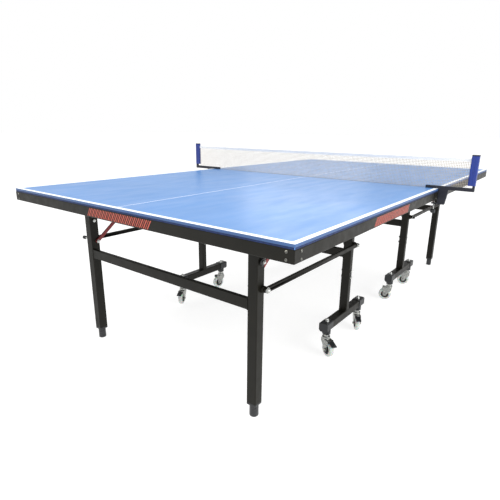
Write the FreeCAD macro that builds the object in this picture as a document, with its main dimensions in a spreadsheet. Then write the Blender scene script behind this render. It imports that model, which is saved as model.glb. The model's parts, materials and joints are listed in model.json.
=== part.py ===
"""Folding ping pong table: two wheeled halves and a clamp-on net.

Millimetres. The origin is on the floor under the middle of the net line. X runs across the
table, Y along it and Z up. Everything is designed for the near half (Y < 0); the far half
is the same design turned 180 degrees about Z.
"""
import FreeCAD, Part
import os
import Sketcher

DIMS = {
    # playing surface
    "table_length": 2740, "table_width": 1525, "table_height": 760,
    "panel_thick": 15, "joint_gap": 4,
    "apron_high": 40, "apron_thick": 20, "net_rail_high": 15, "rail_wall": 1.5,
    "plate_thick": 1.4, "plate_start": 24, "plate_length": 54, "plate_margin": 3,
    # folding linkage: both pivots of a half lie at pivot_z, both link bolts at link_z
    "track": 490, "pivot_z": 712, "link_z": 512, "post_pivot_y": 420, "leg_pivot_y": 1158,
    "pivot_radius": 5, "running_gap": 0.05, "open_pivot_gap": 0.3,
    "side_play": 0.3, "overcut": 1,
    # legs
    "leg_side": 42, "leg_y": 1165, "leg_bottom": 60, "leg_top": 726, "tube_wall": 2,
    "plug_high": 10, "crossbar_low": 432, "crossbar_high": 43, "crossbar_deep": 18,
    "cap_bolt_z": 612, "cap_bolt_radius": 4, "cap_radius": 14, "cap_ring_start": 5,
    "cap_ring_thick": 5,
    # carriage
    "post_deep": 30, "post_top": 725, "base_low": 130, "base_high": 40, "base_wide": 40,
    "base_y": 423, "base_length": 303, "socket_length": 60, "socket_wide": 46,
    "socket_swell": 2, "socket_chamfer": 4, "socket_taper_wide": 7, "socket_taper_high": 9,
    "boss_radius": 20, "boss_offset": 6, "beam_low": 443, "beam_high": 42,
    "tie_bolt_low": 343, "tie_bolt_high": 375, "tie_radius": 4,
    # hinge rails under the panel
    "rail_half_inner": 21.5, "rail_thick": 3, "rail_low": 727, "rail_end": 24,
    "ear_radius": 22, "guide_low": 706, "guide_y": 923, "guide_length": 40, "guide_thick": 3,
    "guide_gap": 1,
    # link rods and lock bars
    "rod_offset": 38.5, "rod_thick": 12, "rod_high": 19, "standoff_radius": 13,
    "bar_offset": 25.5, "bar_thick": 7, "bar_wide": 16, "bar_length": 300, "bar_rise": 38.1,
    "bar_play": 0.5,
    # fasteners: hexagon sizes are radii across the corners
    "washer_radius": 11, "washer_thick": 1.5, "hex_radius": 9, "small_hex_radius": 7.5,
    "hinge_head": 7, "hinge_nut": 4.5, "hinge_tail": 1, "link_head": 6.5, "link_nut": 7,
    "link_tail": 1.5, "bolt_tail": 2, "cap_hex": 6, "cap_head_tail": 1, "tie_head": 5,
    "tie_nut": 7, "dome_flange": 11, "dome_radius": 8, "dome_base": 7,
    "dome_high": 13.5, "button_radius": 4.5, "button_edge": 0.8, "button_proud": 2,
    "button_flat": 3, "end_screw_inset": 26, "side_screw_inset": 34, "screw_edge": 9,
    "joint_screw_y": 45, "latch_start": 74, "latch_end": 93,
    # casters, drawn with the swivel axis at the origin and the wheel trailing towards -Y
    "caster_span": 351, "caster_top": 108, "wheel_radius": 37.5, "wheel_half": 12,
    "trail": 22, "axle_radius": 4, "axle_head": 5, "stem_radius": 5, "stem_reach": 8,
    "stem_room": 3, "fork_half": 17, "fork_gap_half": 14.5, "fork_crown": 82, "fork_top": 85,
    "fork_front": 16, "fork_back": 40, "fork_cheek": 11, "fork_tip_half": 7,
    "fork_tip_drop": 9, "crown_tail": 29, "race_radius": 19, "race_top": 95,
    "neck_radius": 12, "hub_radius": 9, "hub_slope": 2, "wheel_recess": 3.5,
    "tyre_deep": 13, "tread_round": 6, "pin_y": 35.5, "pin_drop": 2.5, "pin_radius": 2,
    "pedal_play": 1.5,
    # levelling feet
    "foot_radius": 17.5, "foot_round": 3, "foot_top": 48, "foot_stem": 4,
    "stem_inside_leg": 4,
    # net set
    "net_y": 12, "net_deep": 16, "net_bottom": 764, "net_top": 912.5, "net_half": 891,
    "net_thick": 1.5, "sleeve_wide": 34, "sleeve_low": 785, "sleeve_top": 924,
    "sleeve_deep": 20, "cap_top": 930, "cap_lip": 1, "post_outer": 923, "post_wide": 10,
    "arm_low": 757, "arm_inner": 700, "arm_thick": 14, "net_clear": 1, "bracket_play": 1.5,
    "jaw_back": 12, "gusset_low": 36, "gusset_high": 48, "clamp_x": 749, "clamp_low": 682,
    "jaw_thick": 6, "screw_radius": 4, "knob_radius": 12, "knob_low": 635, "knob_high": 655,
    "knob_chamfer": 2, "knob_shoulder": 3, "pad_low": 700, "pad_radius": 9, "pad_gap": 0.1,
}

# Turn of each caster about its swivel axis, in degrees, and whether it carries a brake.
CASTERS = {
    "near_right_outer": (60, True), "near_right_inner": (34, True),
    "near_left_outer": (27, True), "near_left_inner": (-13, False),
    "far_right_inner": (-75, False), "far_right_outer": (-70, False),
    "far_left_inner": (20, False), "far_left_outer": (-40, False),
}

# A brake pedal's outline: along the fork's own Y axis, and above the top of its crown.
PEDAL_OUTLINE = [(-31, -3), (-33, 1), (-45, 3), (-74, -8), (-76, -13), (-70, -12), (-48, -5),
                 (-38, -7), (-33, -7)]

doc = FreeCAD.newDocument("ping_pong_table")
sheet = doc.addObject("Spreadsheet::Sheet", "Dims")
nodes = []


def fill_sheet():
    """Write every driving dimension into the sheet under its own alias."""
    for row, (alias, value) in enumerate(DIMS.items(), start=1):
        sheet.set(f"A{row}", alias)
        sheet.set(f"B{row}", str(value))
        sheet.setAlias(f"B{row}", alias)
    doc.recompute()


def dims(text):
    """Turn words that are aliases into references to the sheet."""
    words = []
    word = ""
    for letter in text + " ":
        if letter.isalnum() or letter == "_":
            word += letter
            continue
        words.append("Dims." + word if word in DIMS else word)
        words.append(letter)
        word = ""
    return "".join(words).strip()


def bind(thing, **expressions):
    for prop, text in expressions.items():
        thing.setExpression(prop, dims(text))
    return thing


def at(thing, x, y, z):
    """Bind a thing's position; its turn is left as it is."""
    for axis, text in zip("xyz", (x, y, z)):
        thing.setExpression("Placement.Base." + axis, dims(text))
    return thing


TURNS = {
    "X": FreeCAD.Rotation(FreeCAD.Vector(0, 1, 0), 90),
    "Y": FreeCAD.Rotation(FreeCAD.Vector(1, 0, 0), -90),
    "Z": FreeCAD.Rotation(),
}


def yaw(degrees):
    return FreeCAD.Rotation(FreeCAD.Vector(0, 0, 1), degrees)


def block(name, centre, size):
    """A box given by the expressions of its centre and its size."""
    box = doc.addObject("Part::Box", name)
    bind(box, Length=size[0], Width=size[1], Height=size[2])
    corner = [f"({middle}) - ({side}) / 2" for middle, side in zip(centre, size)]
    return at(box, *corner)


def rod(name, axis, start, radius, length):
    """A cylinder from a start point along +X, +Y or +Z."""
    cylinder = doc.addObject("Part::Cylinder", name)
    cylinder.Placement.Rotation = TURNS[axis]
    bind(cylinder, Radius=radius, Height=length)
    return at(cylinder, *start)


def hexagon(name, axis, start, radius, length):
    """A hexagonal prism, radius across its corners."""
    prism = doc.addObject("Part::Prism", name)
    prism.Polygon = 6
    prism.Placement.Rotation = TURNS[axis]
    bind(prism, Circumradius=radius, Height=length)
    return at(prism, *start)


def fuse(name, *pieces):
    union = doc.addObject("Part::MultiFuse", name)
    union.Shapes = list(pieces)
    union.Refine = True
    return union


def cut(name, base, *tools):
    result = doc.addObject("Part::Cut", name)
    result.Base = base
    result.Tool = tools[0] if len(tools) == 1 else fuse(name + "_tools", *tools)
    return result


def common(name, first, second):
    result = doc.addObject("Part::Common", name)
    result.Base = first
    result.Tool = second
    return result


def instance(name, design, x="0", y="0", z="0", turn=0):
    """A placed copy of a design, turned about its own Z axis."""
    copy = doc.addObject("Part::Compound", name)
    copy.Links = [design]
    copy.Placement.Rotation = yaw(turn)
    return at(copy, x, y, z)


def node(label, *members, turn=0):
    """A named sub-part, placed for its half, that is written to its own file."""
    group = doc.addObject("Part::Compound", label)
    group.Label = label
    group.Links = list(members)
    group.Placement = FreeCAD.Placement(FreeCAD.Vector(), yaw(turn))
    nodes.append(group)
    return group


def tube(name, centre, size, axis, wall):
    """A rectangular tube, open at both ends along one axis."""
    inner = [f"({side}) - 2 * ({wall})" for side in size]
    along = "XYZ".index(axis)
    inner[along] = f"({size[along]}) + 2 * overcut"
    return cut(name, block(name + "_outer", centre, size), block(name + "_hollow", centre, inner))


# ---- sketched bodies -----------------------------------------------------------------

def new_body(name):
    return doc.addObject("PartDesign::Body", name)


def new_sketch(body, role, name):
    sketch = body.newObject("Sketcher::SketchObject", name)
    plane = next(item for item in body.Origin.OriginFeatures if item.Role == role)
    sketch.AttachmentSupport = [(plane, "")]
    sketch.MapMode = "FlatFace"
    return sketch


def draw_polygon(sketch, corners):
    """A closed outline whose corners are bound to expressions."""
    points = []
    for corner in corners:
        values = [float(sketch.evalExpression(dims(text))) for text in corner]
        points.append(FreeCAD.Vector(values[0], values[1], 0))
    count = len(points)
    lines = [sketch.addGeometry(Part.LineSegment(points[i], points[(i + 1) % count]))
             for i in range(count)]
    for i in range(count):
        sketch.addConstraint(Sketcher.Constraint("Coincident", lines[i], 2,
                                                 lines[(i + 1) % count], 1))
    for line, point, corner in zip(lines, points, corners):
        for kind, value, text in zip(("DistanceX", "DistanceY"), (point.x, point.y), corner):
            index = sketch.addConstraint(Sketcher.Constraint(kind, -1, 1, line, 1, value))
            sketch.setExpression(f"Constraints[{index}]", dims(text))


def padded(name, role, corners, length):
    """A body padded both ways from a sketch on one of its origin planes."""
    body = new_body(name)
    sketch = new_sketch(body, role, name + "_outline")
    draw_polygon(sketch, corners)
    pad = body.newObject("PartDesign::Pad", name + "_pad")
    pad.Profile = sketch
    pad.SideType = "Symmetric"
    bind(pad, Length=length)
    return body


def turned(name, role, corners, axis):
    """A body of revolution about the sketch's H_Axis or V_Axis."""
    body = new_body(name)
    sketch = new_sketch(body, role, name + "_outline")
    draw_polygon(sketch, corners)
    revolution = body.newObject("PartDesign::Revolution", name + "_turn")
    revolution.Profile = sketch
    revolution.ReferenceAxis = (sketch, [axis])
    revolution.Angle = 360
    return body


# ---- fasteners -----------------------------------------------------------------------

def through_bolt(name, radius, parts):
    """A bolt along X about x = 0: (kind, start, radius, length) for each of its parts."""
    pieces = []
    for number, (kind, start, size, length) in enumerate(parts):
        make = hexagon if kind == "hex" else rod
        pieces.append(make(f"{name}_{number}", "X", (start, "0", "0"), size, length))
    return fuse(name, *pieces)


def hinge_bolt():
    """Carries a pivot: low head outboard, so that the link rod can pass over it."""
    outer = "rail_half_inner + rail_thick"
    return through_bolt("hinge_bolt", "pivot_radius", [
        ("rod", f"-({outer}) - hinge_head - hinge_tail", "pivot_radius",
         f"2 * ({outer}) + hinge_head + washer_thick + hinge_nut"),
        ("rod", outer, "washer_radius", "washer_thick"),
        ("hex", f"{outer} + washer_thick", "hex_radius", "hinge_nut"),
        ("hex", f"-({outer}) - hinge_head", "hex_radius", "hinge_head"),
    ])


def link_bolt(name, inner_reach):
    """Carries a link rod outboard of a tube; its inner end reaches in by inner_reach."""
    face = "rod_offset + rod_thick / 2 + side_play"
    return through_bolt(name, "pivot_radius", [
        ("rod", f"-({inner_reach}) - bolt_tail", "pivot_radius",
         f"{inner_reach} + {face} + bolt_tail + washer_thick + link_nut + link_tail"),
        ("rod", face, "washer_radius", "washer_thick"),
        ("hex", f"{face} + washer_thick", "hex_radius", "link_nut"),
        ("hex", f"-({inner_reach})", "hex_radius", "link_head"),
    ])


def dome_nut():
    """A cap nut standing on z = 0."""
    return turned("dome_nut", "XZ_Plane", [
        ("0", "0"), ("dome_flange", "0"), ("dome_flange", "washer_thick"),
        ("dome_radius", "washer_thick"), ("dome_radius", "dome_base"),
        ("dome_radius * 0.8", "dome_high - 3"), ("dome_radius / 2", "dome_high - 1"),
        ("0", "dome_high")], "V_Axis")


def button_screw():
    """A low screw head on a face at x = 0, pointing +X."""
    return turned("button_screw", "XY_Plane", [
        ("0", "0"), ("0", "button_radius"), ("button_edge", "button_radius"),
        ("button_proud", "button_flat"), ("button_proud", "0")], "H_Axis")


# ---- the top of a half ---------------------------------------------------------------

def table_panel():
    half_gap = "joint_gap / 2"
    length = f"(table_length / 2 - {half_gap})"
    return block("table_panel",
                 ("0", f"-(table_length / 2 + {half_gap}) / 2", "table_height - panel_thick / 2"),
                 ("table_width", length, "panel_thick"))


APRON_TOP = "(table_height - panel_thick)"


def apron_rails():
    """Side rails, end rail, the shallow rail along the net line, and the joint plates."""
    end = "table_length / 2"
    middle = f"{APRON_TOP} - apron_high / 2"
    inner_width = "(table_width - 2 * apron_thick)"
    side_length = "(table_length / 2 - apron_thick - joint_gap / 2)"
    side_middle = f"-(joint_gap / 2 + {side_length} / 2)"
    rails = [tube("end_rail", ("0", f"apron_thick / 2 - {end}", middle),
                  ("table_width", "apron_thick", "apron_high"), "X", "rail_wall")]
    for side, sign in (("right", ""), ("left", "-")):
        x = f"{sign}(table_width / 2 - apron_thick / 2)"
        rails.append(tube(f"side_rail_{side}", (x, side_middle, middle),
                          ("apron_thick", side_length, "apron_high"), "Y", "rail_wall"))
    rails.append(tube("net_rail",
                      ("0", "-(joint_gap / 2 + apron_thick / 2)",
                       f"{APRON_TOP} - net_rail_high / 2"),
                      (inner_width, "apron_thick", "net_rail_high"), "X", "rail_wall"))
    for side, sign in (("right", ""), ("left", "-")):
        rails.append(block(f"joint_plate_{side}",
                           (f"{sign}(table_width / 2 + plate_thick / 2)",
                            "-(plate_start + plate_length / 2)", middle),
                           ("plate_thick", "plate_length", "apron_high - 2 * plate_margin")))
    return rails


def hinge_channel():
    """An inverted U under the panel; the leg folds up between its flanges."""
    outer = "rail_half_inner + rail_thick"
    inner = "rail_half_inner"
    web = f"{APRON_TOP} - rail_thick"
    near_end = "table_length / 2 - apron_thick"
    return padded("hinge_channel", "XZ_Plane", [
        (f"-({outer})", "rail_low"), (f"-{inner}", "rail_low"), (f"-{inner}", web),
        (inner, web), (inner, "rail_low"), (outer, "rail_low"), (outer, APRON_TOP),
        (f"-({outer})", APRON_TOP)], f"{near_end} - rail_end")


def hinge_ear():
    """The rounded ear below a flange that carries one side of a pivot, about x = 0."""
    disc = rod("ear_disc", "X", ("-rail_thick / 2", "0", "0"), "ear_radius", "rail_thick")
    keep = block("ear_keep", ("0", "0", "rail_low - pivot_z - ear_radius"),
                 ("rail_thick + 2", "2 * ear_radius", "2 * ear_radius"))
    hole = rod("ear_hole", "X", ("-rail_thick", "0", "0"), "pivot_radius", "2 * rail_thick")
    return cut("hinge_ear", common("ear_lower", disc, keep), hole)


def hinge_rails():
    """Both channels with four ears each, and the guide tab beside each lock bar."""
    channel = hinge_channel()
    ear = hinge_ear()
    middle = "-(table_length / 2 - apron_thick + rail_end) / 2"
    ear_x = "rail_half_inner + rail_thick / 2"
    guide_x = "bar_offset - (bar_thick + guide_thick) / 2 - guide_gap"
    members = []
    for side, sign in (("right", ""), ("left", "-")):
        members.append(instance(f"channel_{side}", channel, f"{sign}track", middle))
        for pivot in ("post_pivot_y", "leg_pivot_y"):
            for place, edge in (("outer", ""), ("inner", "-")):
                members.append(instance(f"ear_{side}_{pivot}_{place}", ear,
                                        f"{sign}track + {edge}({ear_x})", f"-{pivot}", "pivot_z"))
        guide_high = f"({APRON_TOP} - guide_low)"
        members.append(block(f"guide_{side}",
                             (f"{sign}(track - {guide_x})", "-guide_y",
                              f"guide_low + {guide_high} / 2"),
                             ("guide_thick", "guide_length", guide_high)))
    return members


def pivot_bolts():
    bolt = hinge_bolt()
    members = []
    for side, sign, turn in (("right", "", 0), ("left", "-", 180)):
        for pivot in ("post_pivot_y", "leg_pivot_y"):
            members.append(instance(f"bolt_{side}_{pivot}", bolt, f"{sign}track", f"-{pivot}",
                                    "pivot_z", turn))
    return members


def corner_screws():
    """Two screw heads near each outer corner, and one on each joint plate."""
    screw = button_screw()
    side_x = "table_width / 2"
    end_y = "table_length / 2"
    heights = (f"{APRON_TOP} - screw_edge", f"{APRON_TOP} - apron_high + screw_edge")
    members = []
    for level, height in enumerate(heights):
        for side, sign, turn in (("right", "", 0), ("left", "-", 180)):
            faces = {
                "corner": (f"{sign}({side_x})", f"side_screw_inset - {end_y}", turn),
                "end": (f"{sign}({side_x} - end_screw_inset)", f"-({end_y})", -90),
            }
            for face, (x, y, spin) in faces.items():
                members.append(instance(f"screw_{side}_{face}_{level}", screw, x, y, height, spin))
    for side, sign, turn in (("right", "", 0), ("left", "-", 180)):
        members.append(instance(f"screw_{side}_joint", screw,
                                f"{sign}({side_x} + plate_thick)", "-joint_screw_y",
                                heights[1], turn))
    return members


# ---- legs ----------------------------------------------------------------------------

def leg_tubes():
    """Square tubes with their pivot, link and cap bolt holes, end plugs and standoffs."""
    members = []
    height = "(leg_top - leg_bottom)"
    for side, sign in (("right", ""), ("left", "-")):
        x = f"{sign}track"
        plain = tube(f"leg_blank_{side}", (x, "-leg_y", f"leg_bottom + {height} / 2"),
                     ("leg_side", "leg_side", height), "Z", "tube_wall")
        start = f"{x} - leg_side"
        through = "2 * leg_side"
        holes = [
            rod(f"leg_pivot_hole_{side}", "X", (start, "-leg_pivot_y", "pivot_z"),
                "pivot_radius + running_gap", through),
            rod(f"leg_link_hole_{side}", "X", (start, "-leg_pivot_y", "link_z"),
                "pivot_radius", through),
            rod(f"leg_cap_hole_{side}", "X", (start, "-leg_y", "cap_bolt_z"),
                "cap_bolt_radius", through),
        ]
        members.append(cut(f"leg_{side}", plain, *holes))
        plug = block(f"plug_block_{side}", (x, "-leg_y", "leg_bottom - plug_high / 2"),
                     ("leg_side", "leg_side", "plug_high"))
        bore = rod(f"plug_bore_{side}", "Z", (x, "-leg_y", "leg_bottom - plug_high - overcut"),
                   "foot_stem + running_gap", "plug_high + 2 * overcut")
        members.append(cut(f"leg_plug_{side}", plug, bore))
        members.append(standoff(f"leg_standoff_{side}", sign, "-leg_pivot_y"))
        members.append(cap_ring(f"cap_ring_{side}", sign))
    return members


def ring(name, centre_x, y, z, length, radius, bore):
    """A round spacer about a bolt that runs along X."""
    start = f"{centre_x} - ({length}) / 2"
    outer = rod(name + "_outer", "X", (start, y, z), radius, length)
    hole = rod(name + "_hole", "X", (f"{start} - overcut", y, z), bore,
               f"({length}) + 2 * overcut")
    return cut(name, outer, hole)


def standoff(name, sign, y):
    """Holds a link rod clear of its tube."""
    length = "(rod_offset - rod_thick / 2 - leg_side / 2 - side_play)"
    middle = f"{sign}(track + leg_side / 2 + {length} / 2)"
    return ring(name, middle, y, "link_z", length, "standoff_radius", "pivot_radius")


def cap_ring(name, sign):
    """The black ring under the cap bolt's nut, on the outer face of a leg."""
    middle = f"{sign}(track + leg_side / 2 + cap_ring_start + cap_ring_thick / 2)"
    return ring(name, middle, "-leg_y", "cap_bolt_z", "cap_ring_thick", "cap_radius",
                "cap_bolt_radius")


def latch_knob(link):
    """A leg's link bolt drawn out to a round hand knob."""
    start = "rod_offset + rod_thick / 2"
    shaft = rod("latch_shaft", "X", (start, "0", "0"), "pivot_radius",
                f"latch_start - ({start}) + overcut")
    knob = rod("latch_grip", "X", ("latch_start", "0", "0"), "hex_radius",
               "latch_end - latch_start")
    return fuse("latch_bolt", link, shaft, knob)


def leg_bolts(latched):
    """The link bolts, which also carry the lock bars, and the cap bolts.

    latched gives the left link bolt its hand knob.
    """
    link = link_bolt("leg_link_bolt", "bar_offset + bar_thick / 2 + bar_play + link_head")
    spacer_length = "(bar_offset - bar_thick / 2 - leg_side / 2 - side_play)"
    spacer = rod("bar_spacer", "X", (f"-leg_side / 2 - {spacer_length}", "0", "0"),
                 "hex_radius", spacer_length)
    link = fuse("leg_link_bolt_spaced", link, spacer)
    ring_end = "cap_ring_start + cap_ring_thick"
    cap = through_bolt("cap_bolt", "cap_bolt_radius", [
        ("rod", "-leg_side / 2 - cap_hex - cap_head_tail", "cap_bolt_radius",
         f"leg_side + 2 * cap_hex + cap_head_tail + {ring_end} + bolt_tail"),
        ("hex", f"leg_side / 2 + {ring_end}", "small_hex_radius", "cap_hex"),
        ("hex", "-leg_side / 2 - cap_hex", "small_hex_radius", "cap_hex"),
    ])
    members = []
    for side, sign, turn in (("right", "", 0), ("left", "-", 180)):
        design = latch_knob(link) if latched and side == "left" else link
        members.append(instance(f"link_bolt_{side}", design, f"{sign}track", "-leg_pivot_y",
                                "link_z", turn))
        members.append(instance(f"cap_bolt_{side}", cap, f"{sign}track", "-leg_y",
                                "cap_bolt_z", turn))
    return members


def cross_tube(name, outer_y, low, high):
    """A flat tube between two uprights, flush with their end-side faces."""
    width = "2 * (track - leg_side / 2)"
    return tube(name, ("0", f"{outer_y} + crossbar_deep / 2", f"{low} + {high} / 2"),
                (width, "crossbar_deep", high), "X", "tube_wall")


def foot():
    """A levelling foot on its threaded stem, drawn about its own axis."""
    return turned("foot", "XZ_Plane", [
        ("0", "0"), ("foot_radius - foot_round", "0"),
        ("foot_radius - foot_round / 4", "foot_round / 2"), ("foot_radius", "foot_round"),
        ("foot_radius", "foot_top - 1"), ("foot_radius - 1", "foot_top"),
        ("foot_stem", "foot_top"), ("foot_stem", "leg_bottom + stem_inside_leg"),
        ("0", "leg_bottom + stem_inside_leg")], "V_Axis")


# ---- linkage -------------------------------------------------------------------------

def link_rods():
    """One rod on each side, outboard of the uprights, parallel to the top."""
    members = []
    for side, sign in (("right", ""), ("left", "-")):
        x = f"{sign}(track + rod_offset)"
        start = f"{x} - rod_thick / 2"
        bar = block(f"rod_bar_{side}", (x, "-(post_pivot_y + leg_pivot_y) / 2", "link_z"),
                    ("rod_thick", "leg_pivot_y - post_pivot_y", "rod_high"))
        ends = [rod(f"rod_end_{side}_{pivot}", "X", (start, f"-{pivot}", "link_z"),
                    "rod_high / 2", "rod_thick") for pivot in ("post_pivot_y", "leg_pivot_y")]
        holes = [rod(f"rod_hole_{side}_{pivot}", "X",
                     (f"{start} - overcut", f"-{pivot}", "link_z"),
                     f"pivot_radius + {gap}", "rod_thick + 2 * overcut")
                 for pivot, gap in (("post_pivot_y", "running_gap"),
                                    ("leg_pivot_y", "open_pivot_gap"))]
        members.append(cut(f"link_rod_{side}", fuse(f"rod_body_{side}", bar, *ends), *holes))
    return members


def lock_bars():
    """A red bar on the inner side of each leg, turning on the leg's link bolt."""
    half = "bar_thick / 2"
    bar = block("bar_straight", ("0", "bar_length / 2", "0"),
                ("bar_thick", "bar_length", "bar_wide"))
    ends = [rod(f"bar_end_{number}", "X", (f"-{half}", y, "0"), "bar_wide / 2", "bar_thick")
            for number, y in enumerate(("0", "bar_length"))]
    hole = rod("bar_hole", "X", (f"-{half} - overcut", "0", "0"),
               "pivot_radius + running_gap", "bar_thick + 2 * overcut")
    flat = cut("bar_flat", fuse("bar_body", bar, *ends), hole)
    members = []
    for side, sign in (("right", ""), ("left", "-")):
        copy = instance(f"lock_bar_{side}", flat, f"{sign}(track - bar_offset)",
                        "-leg_pivot_y", "link_z")
        copy.Placement.Rotation = FreeCAD.Rotation(FreeCAD.Vector(1, 0, 0), DIMS["bar_rise"])
        members.append(copy)
    return members


# ---- carriage ------------------------------------------------------------------------

def t_frames():
    """A post standing on a base tube on each side, with the standoff for its link rod."""
    members = []
    base_top = "(base_low + base_high)"
    height = f"(post_top - {base_top})"
    for side, sign in (("right", ""), ("left", "-")):
        x = f"{sign}track"
        plain = tube(f"post_blank_{side}", (x, "-post_pivot_y", f"{base_top} + {height} / 2"),
                     ("leg_side", "post_deep", height), "Z", "tube_wall")
        start = f"{x} - leg_side"
        holes = [
            rod(f"post_pivot_hole_{side}", "X", (start, "-post_pivot_y", "pivot_z"),
                "pivot_radius + running_gap", "2 * leg_side"),
            rod(f"post_link_hole_{side}", "X", (start, "-post_pivot_y", "link_z"),
                "pivot_radius", "2 * leg_side"),
        ]
        for level in ("tie_bolt_low", "tie_bolt_high"):
            holes.append(rod(f"post_{level}_{side}", "X", (start, "-post_pivot_y", level),
                             "tie_radius", "2 * leg_side"))
        members.append(cut(f"post_{side}", plain, *holes))
        members.append(tube(f"base_{side}", (x, "-base_y", "base_low + base_high / 2"),
                            ("base_wide", "base_length", "base_high"), "Y", "tube_wall"))
        members.append(standoff(f"post_standoff_{side}", sign, "-post_pivot_y"))
    return members


CASTER_SPOTS = {"outer": "-base_y - caster_span / 2", "inner": "-base_y + caster_span / 2"}


def end_socket():
    """A plastic block on the end of a base tube with a round boss for a caster stem."""
    top = "base_low + base_high + socket_swell"
    low = "base_low - socket_swell"
    half = "socket_wide / 2"
    right = [(f"{half} - socket_taper_wide", low), (half, f"{low} + socket_taper_high"),
             (half, f"{top} - socket_chamfer"), (f"{half} - socket_chamfer", top)]
    left = [(f"-({x})", z) for x, z in reversed(right)]
    block_body = padded("socket_block", "XZ_Plane", right + left, "socket_length")
    boss = rod("socket_boss", "Z", ("0", "boss_offset", "caster_top"), "boss_radius",
               "base_low - caster_top")
    bore = rod("socket_bore", "Z", ("0", "boss_offset", "caster_top - overcut"),
               "stem_radius + running_gap",
               "base_low - caster_top + stem_reach + stem_room + overcut")
    return cut("end_socket", fuse("socket_whole", block_body, boss), bore)


def end_sockets():
    """Each block is a little longer outward of its caster than inward."""
    socket = end_socket()
    reach = "(base_length + socket_length) / 2"
    spots = {"outer": (f"-base_y - {reach}", 0), "inner": (f"-base_y + {reach}", 180)}
    return [instance(f"socket_{side}_{spot}", socket, f"{sign}track", y, turn=turn)
            for side, sign in (("right", ""), ("left", "-"))
            for spot, (y, turn) in spots.items()]


def carriage_bolts():
    """Link bolts on the posts, tie bolts below the beam and a cap nut over each caster.

    The tie bolts of both posts are put in from the left.
    """
    link = link_bolt("post_link_bolt", "leg_side / 2 + link_head")
    nut = dome_nut()
    tie = through_bolt("tie_bolt", "tie_radius", [
        ("rod", "-leg_side / 2 - tie_head", "tie_radius",
         "leg_side + tie_head + tie_nut + bolt_tail"),
        ("rod", "-leg_side / 2 - tie_head", "small_hex_radius", "tie_head"),
        ("hex", "leg_side / 2", "small_hex_radius", "tie_nut"),
    ])
    members = []
    for side, sign, turn in (("right", "", 0), ("left", "-", 180)):
        x = f"{sign}track"
        members.append(instance(f"post_bolt_{side}", link, x, "-post_pivot_y", "link_z", turn))
        for level in ("tie_bolt_low", "tie_bolt_high"):
            members.append(instance(f"tie_{side}_{level}", tie, x, "-post_pivot_y", level))
        for spot, y in CASTER_SPOTS.items():
            members.append(instance(f"nut_{side}_{spot}", nut, x, y,
                                    "base_low + base_high + socket_swell"))
    return members


# ---- casters -------------------------------------------------------------------------

def fork():
    """Pressed fork with crown, raceway, stem, axle bolt and brake pin."""
    axle_y, tip_z = "-trail", "wheel_radius - fork_tip_drop"
    plates = padded("fork_plates", "YZ_Plane", [
        ("fork_front", "fork_top"), ("-fork_back", "fork_top"),
        ("-fork_back - 1", "fork_crown - fork_tip_drop"),
        ("-fork_back + 6", "fork_crown - 2 * fork_tip_drop"),
        (f"{axle_y} - fork_cheek", "wheel_radius"), (f"{axle_y} - fork_tip_half", tip_z),
        (f"{axle_y} + fork_tip_half", tip_z), (f"{axle_y} + fork_cheek", "wheel_radius"),
        ("fork_front", "fork_crown - 12")], "2 * fork_half")
    wheel_gap = block("fork_wheel_gap", ("0", axle_y, "fork_crown / 2"),
                      ("2 * fork_gap_half", "4 * fork_back", "fork_crown"))
    tail_gap = block("fork_tail_gap", ("0", "-crown_tail - fork_back / 2", "fork_crown"),
                     ("2 * fork_gap_half", "fork_back", "fork_back"))
    shell = cut("fork_shell", plates, wheel_gap, tail_gap)
    pieces = [
        rod("fork_race", "Z", ("0", "0", "fork_top"), "race_radius", "race_top - fork_top"),
        rod("fork_neck", "Z", ("0", "0", "fork_top"), "neck_radius",
            "caster_top - fork_top - side_play"),
        rod("fork_stem", "Z", ("0", "0", "fork_top"), "stem_radius",
            "base_low + stem_reach - fork_top"),
        rod("fork_axle", "X", ("-fork_half - bolt_tail", axle_y, "wheel_radius"),
            "axle_radius", "2 * (fork_half + bolt_tail)"),
        hexagon("fork_head", "X", ("-fork_half - axle_head", axle_y, "wheel_radius"),
                "small_hex_radius", "axle_head"),
        hexagon("fork_nut", "X", ("fork_half", axle_y, "wheel_radius"), "small_hex_radius",
                "axle_head"),
    ]
    return fuse("fork", shell, *pieces)


def brake_fork(plain):
    """The same fork with the pin that its brake pedal turns on."""
    pin = rod("brake_pin", "X", ("-fork_half", "-pin_y", "fork_crown - pin_drop"),
              "pin_radius", "2 * fork_half")
    return fuse("brake_fork", plain, pin)


def wheel():
    """Rounded tread, recessed sides and a raised hub, turned about the axle along X."""
    wide = "wheel_half"
    radius = "wheel_radius"
    web = f"{wide} - wheel_recess"
    right = [
        (wide, "axle_radius + running_gap"), (wide, "hub_radius"),
        (web, "hub_radius + hub_slope"), (web, f"{radius} - tyre_deep - hub_slope"),
        (wide, f"{radius} - tyre_deep"), (wide, f"{radius} - tread_round"),
        (f"{wide} - tread_round / 4", f"{radius} - tread_round / 2.5"),
        (f"{wide} - tread_round", radius)]
    left = [(f"-({x})", y) for x, y in reversed(right)]
    return instance("wheel_on_axle", turned("wheel", "XY_Plane", right + left, "H_Axis"),
                    "0", "-trail", "wheel_radius")


def brake_pedal():
    """A short lever that turns on the fork's brake pin and reaches out over the wheel."""
    outline = [(str(y), f"fork_crown + ({rise})") for y, rise in PEDAL_OUTLINE]
    blade = padded("pedal_blade", "YZ_Plane", outline, "2 * (fork_gap_half - pedal_play)")
    bore = rod("pedal_bore", "X", ("-fork_half", "-pin_y", "fork_crown - pin_drop"),
               "pin_radius + running_gap", "2 * fork_half")
    return cut("brake_pedal", blade, bore)


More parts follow.
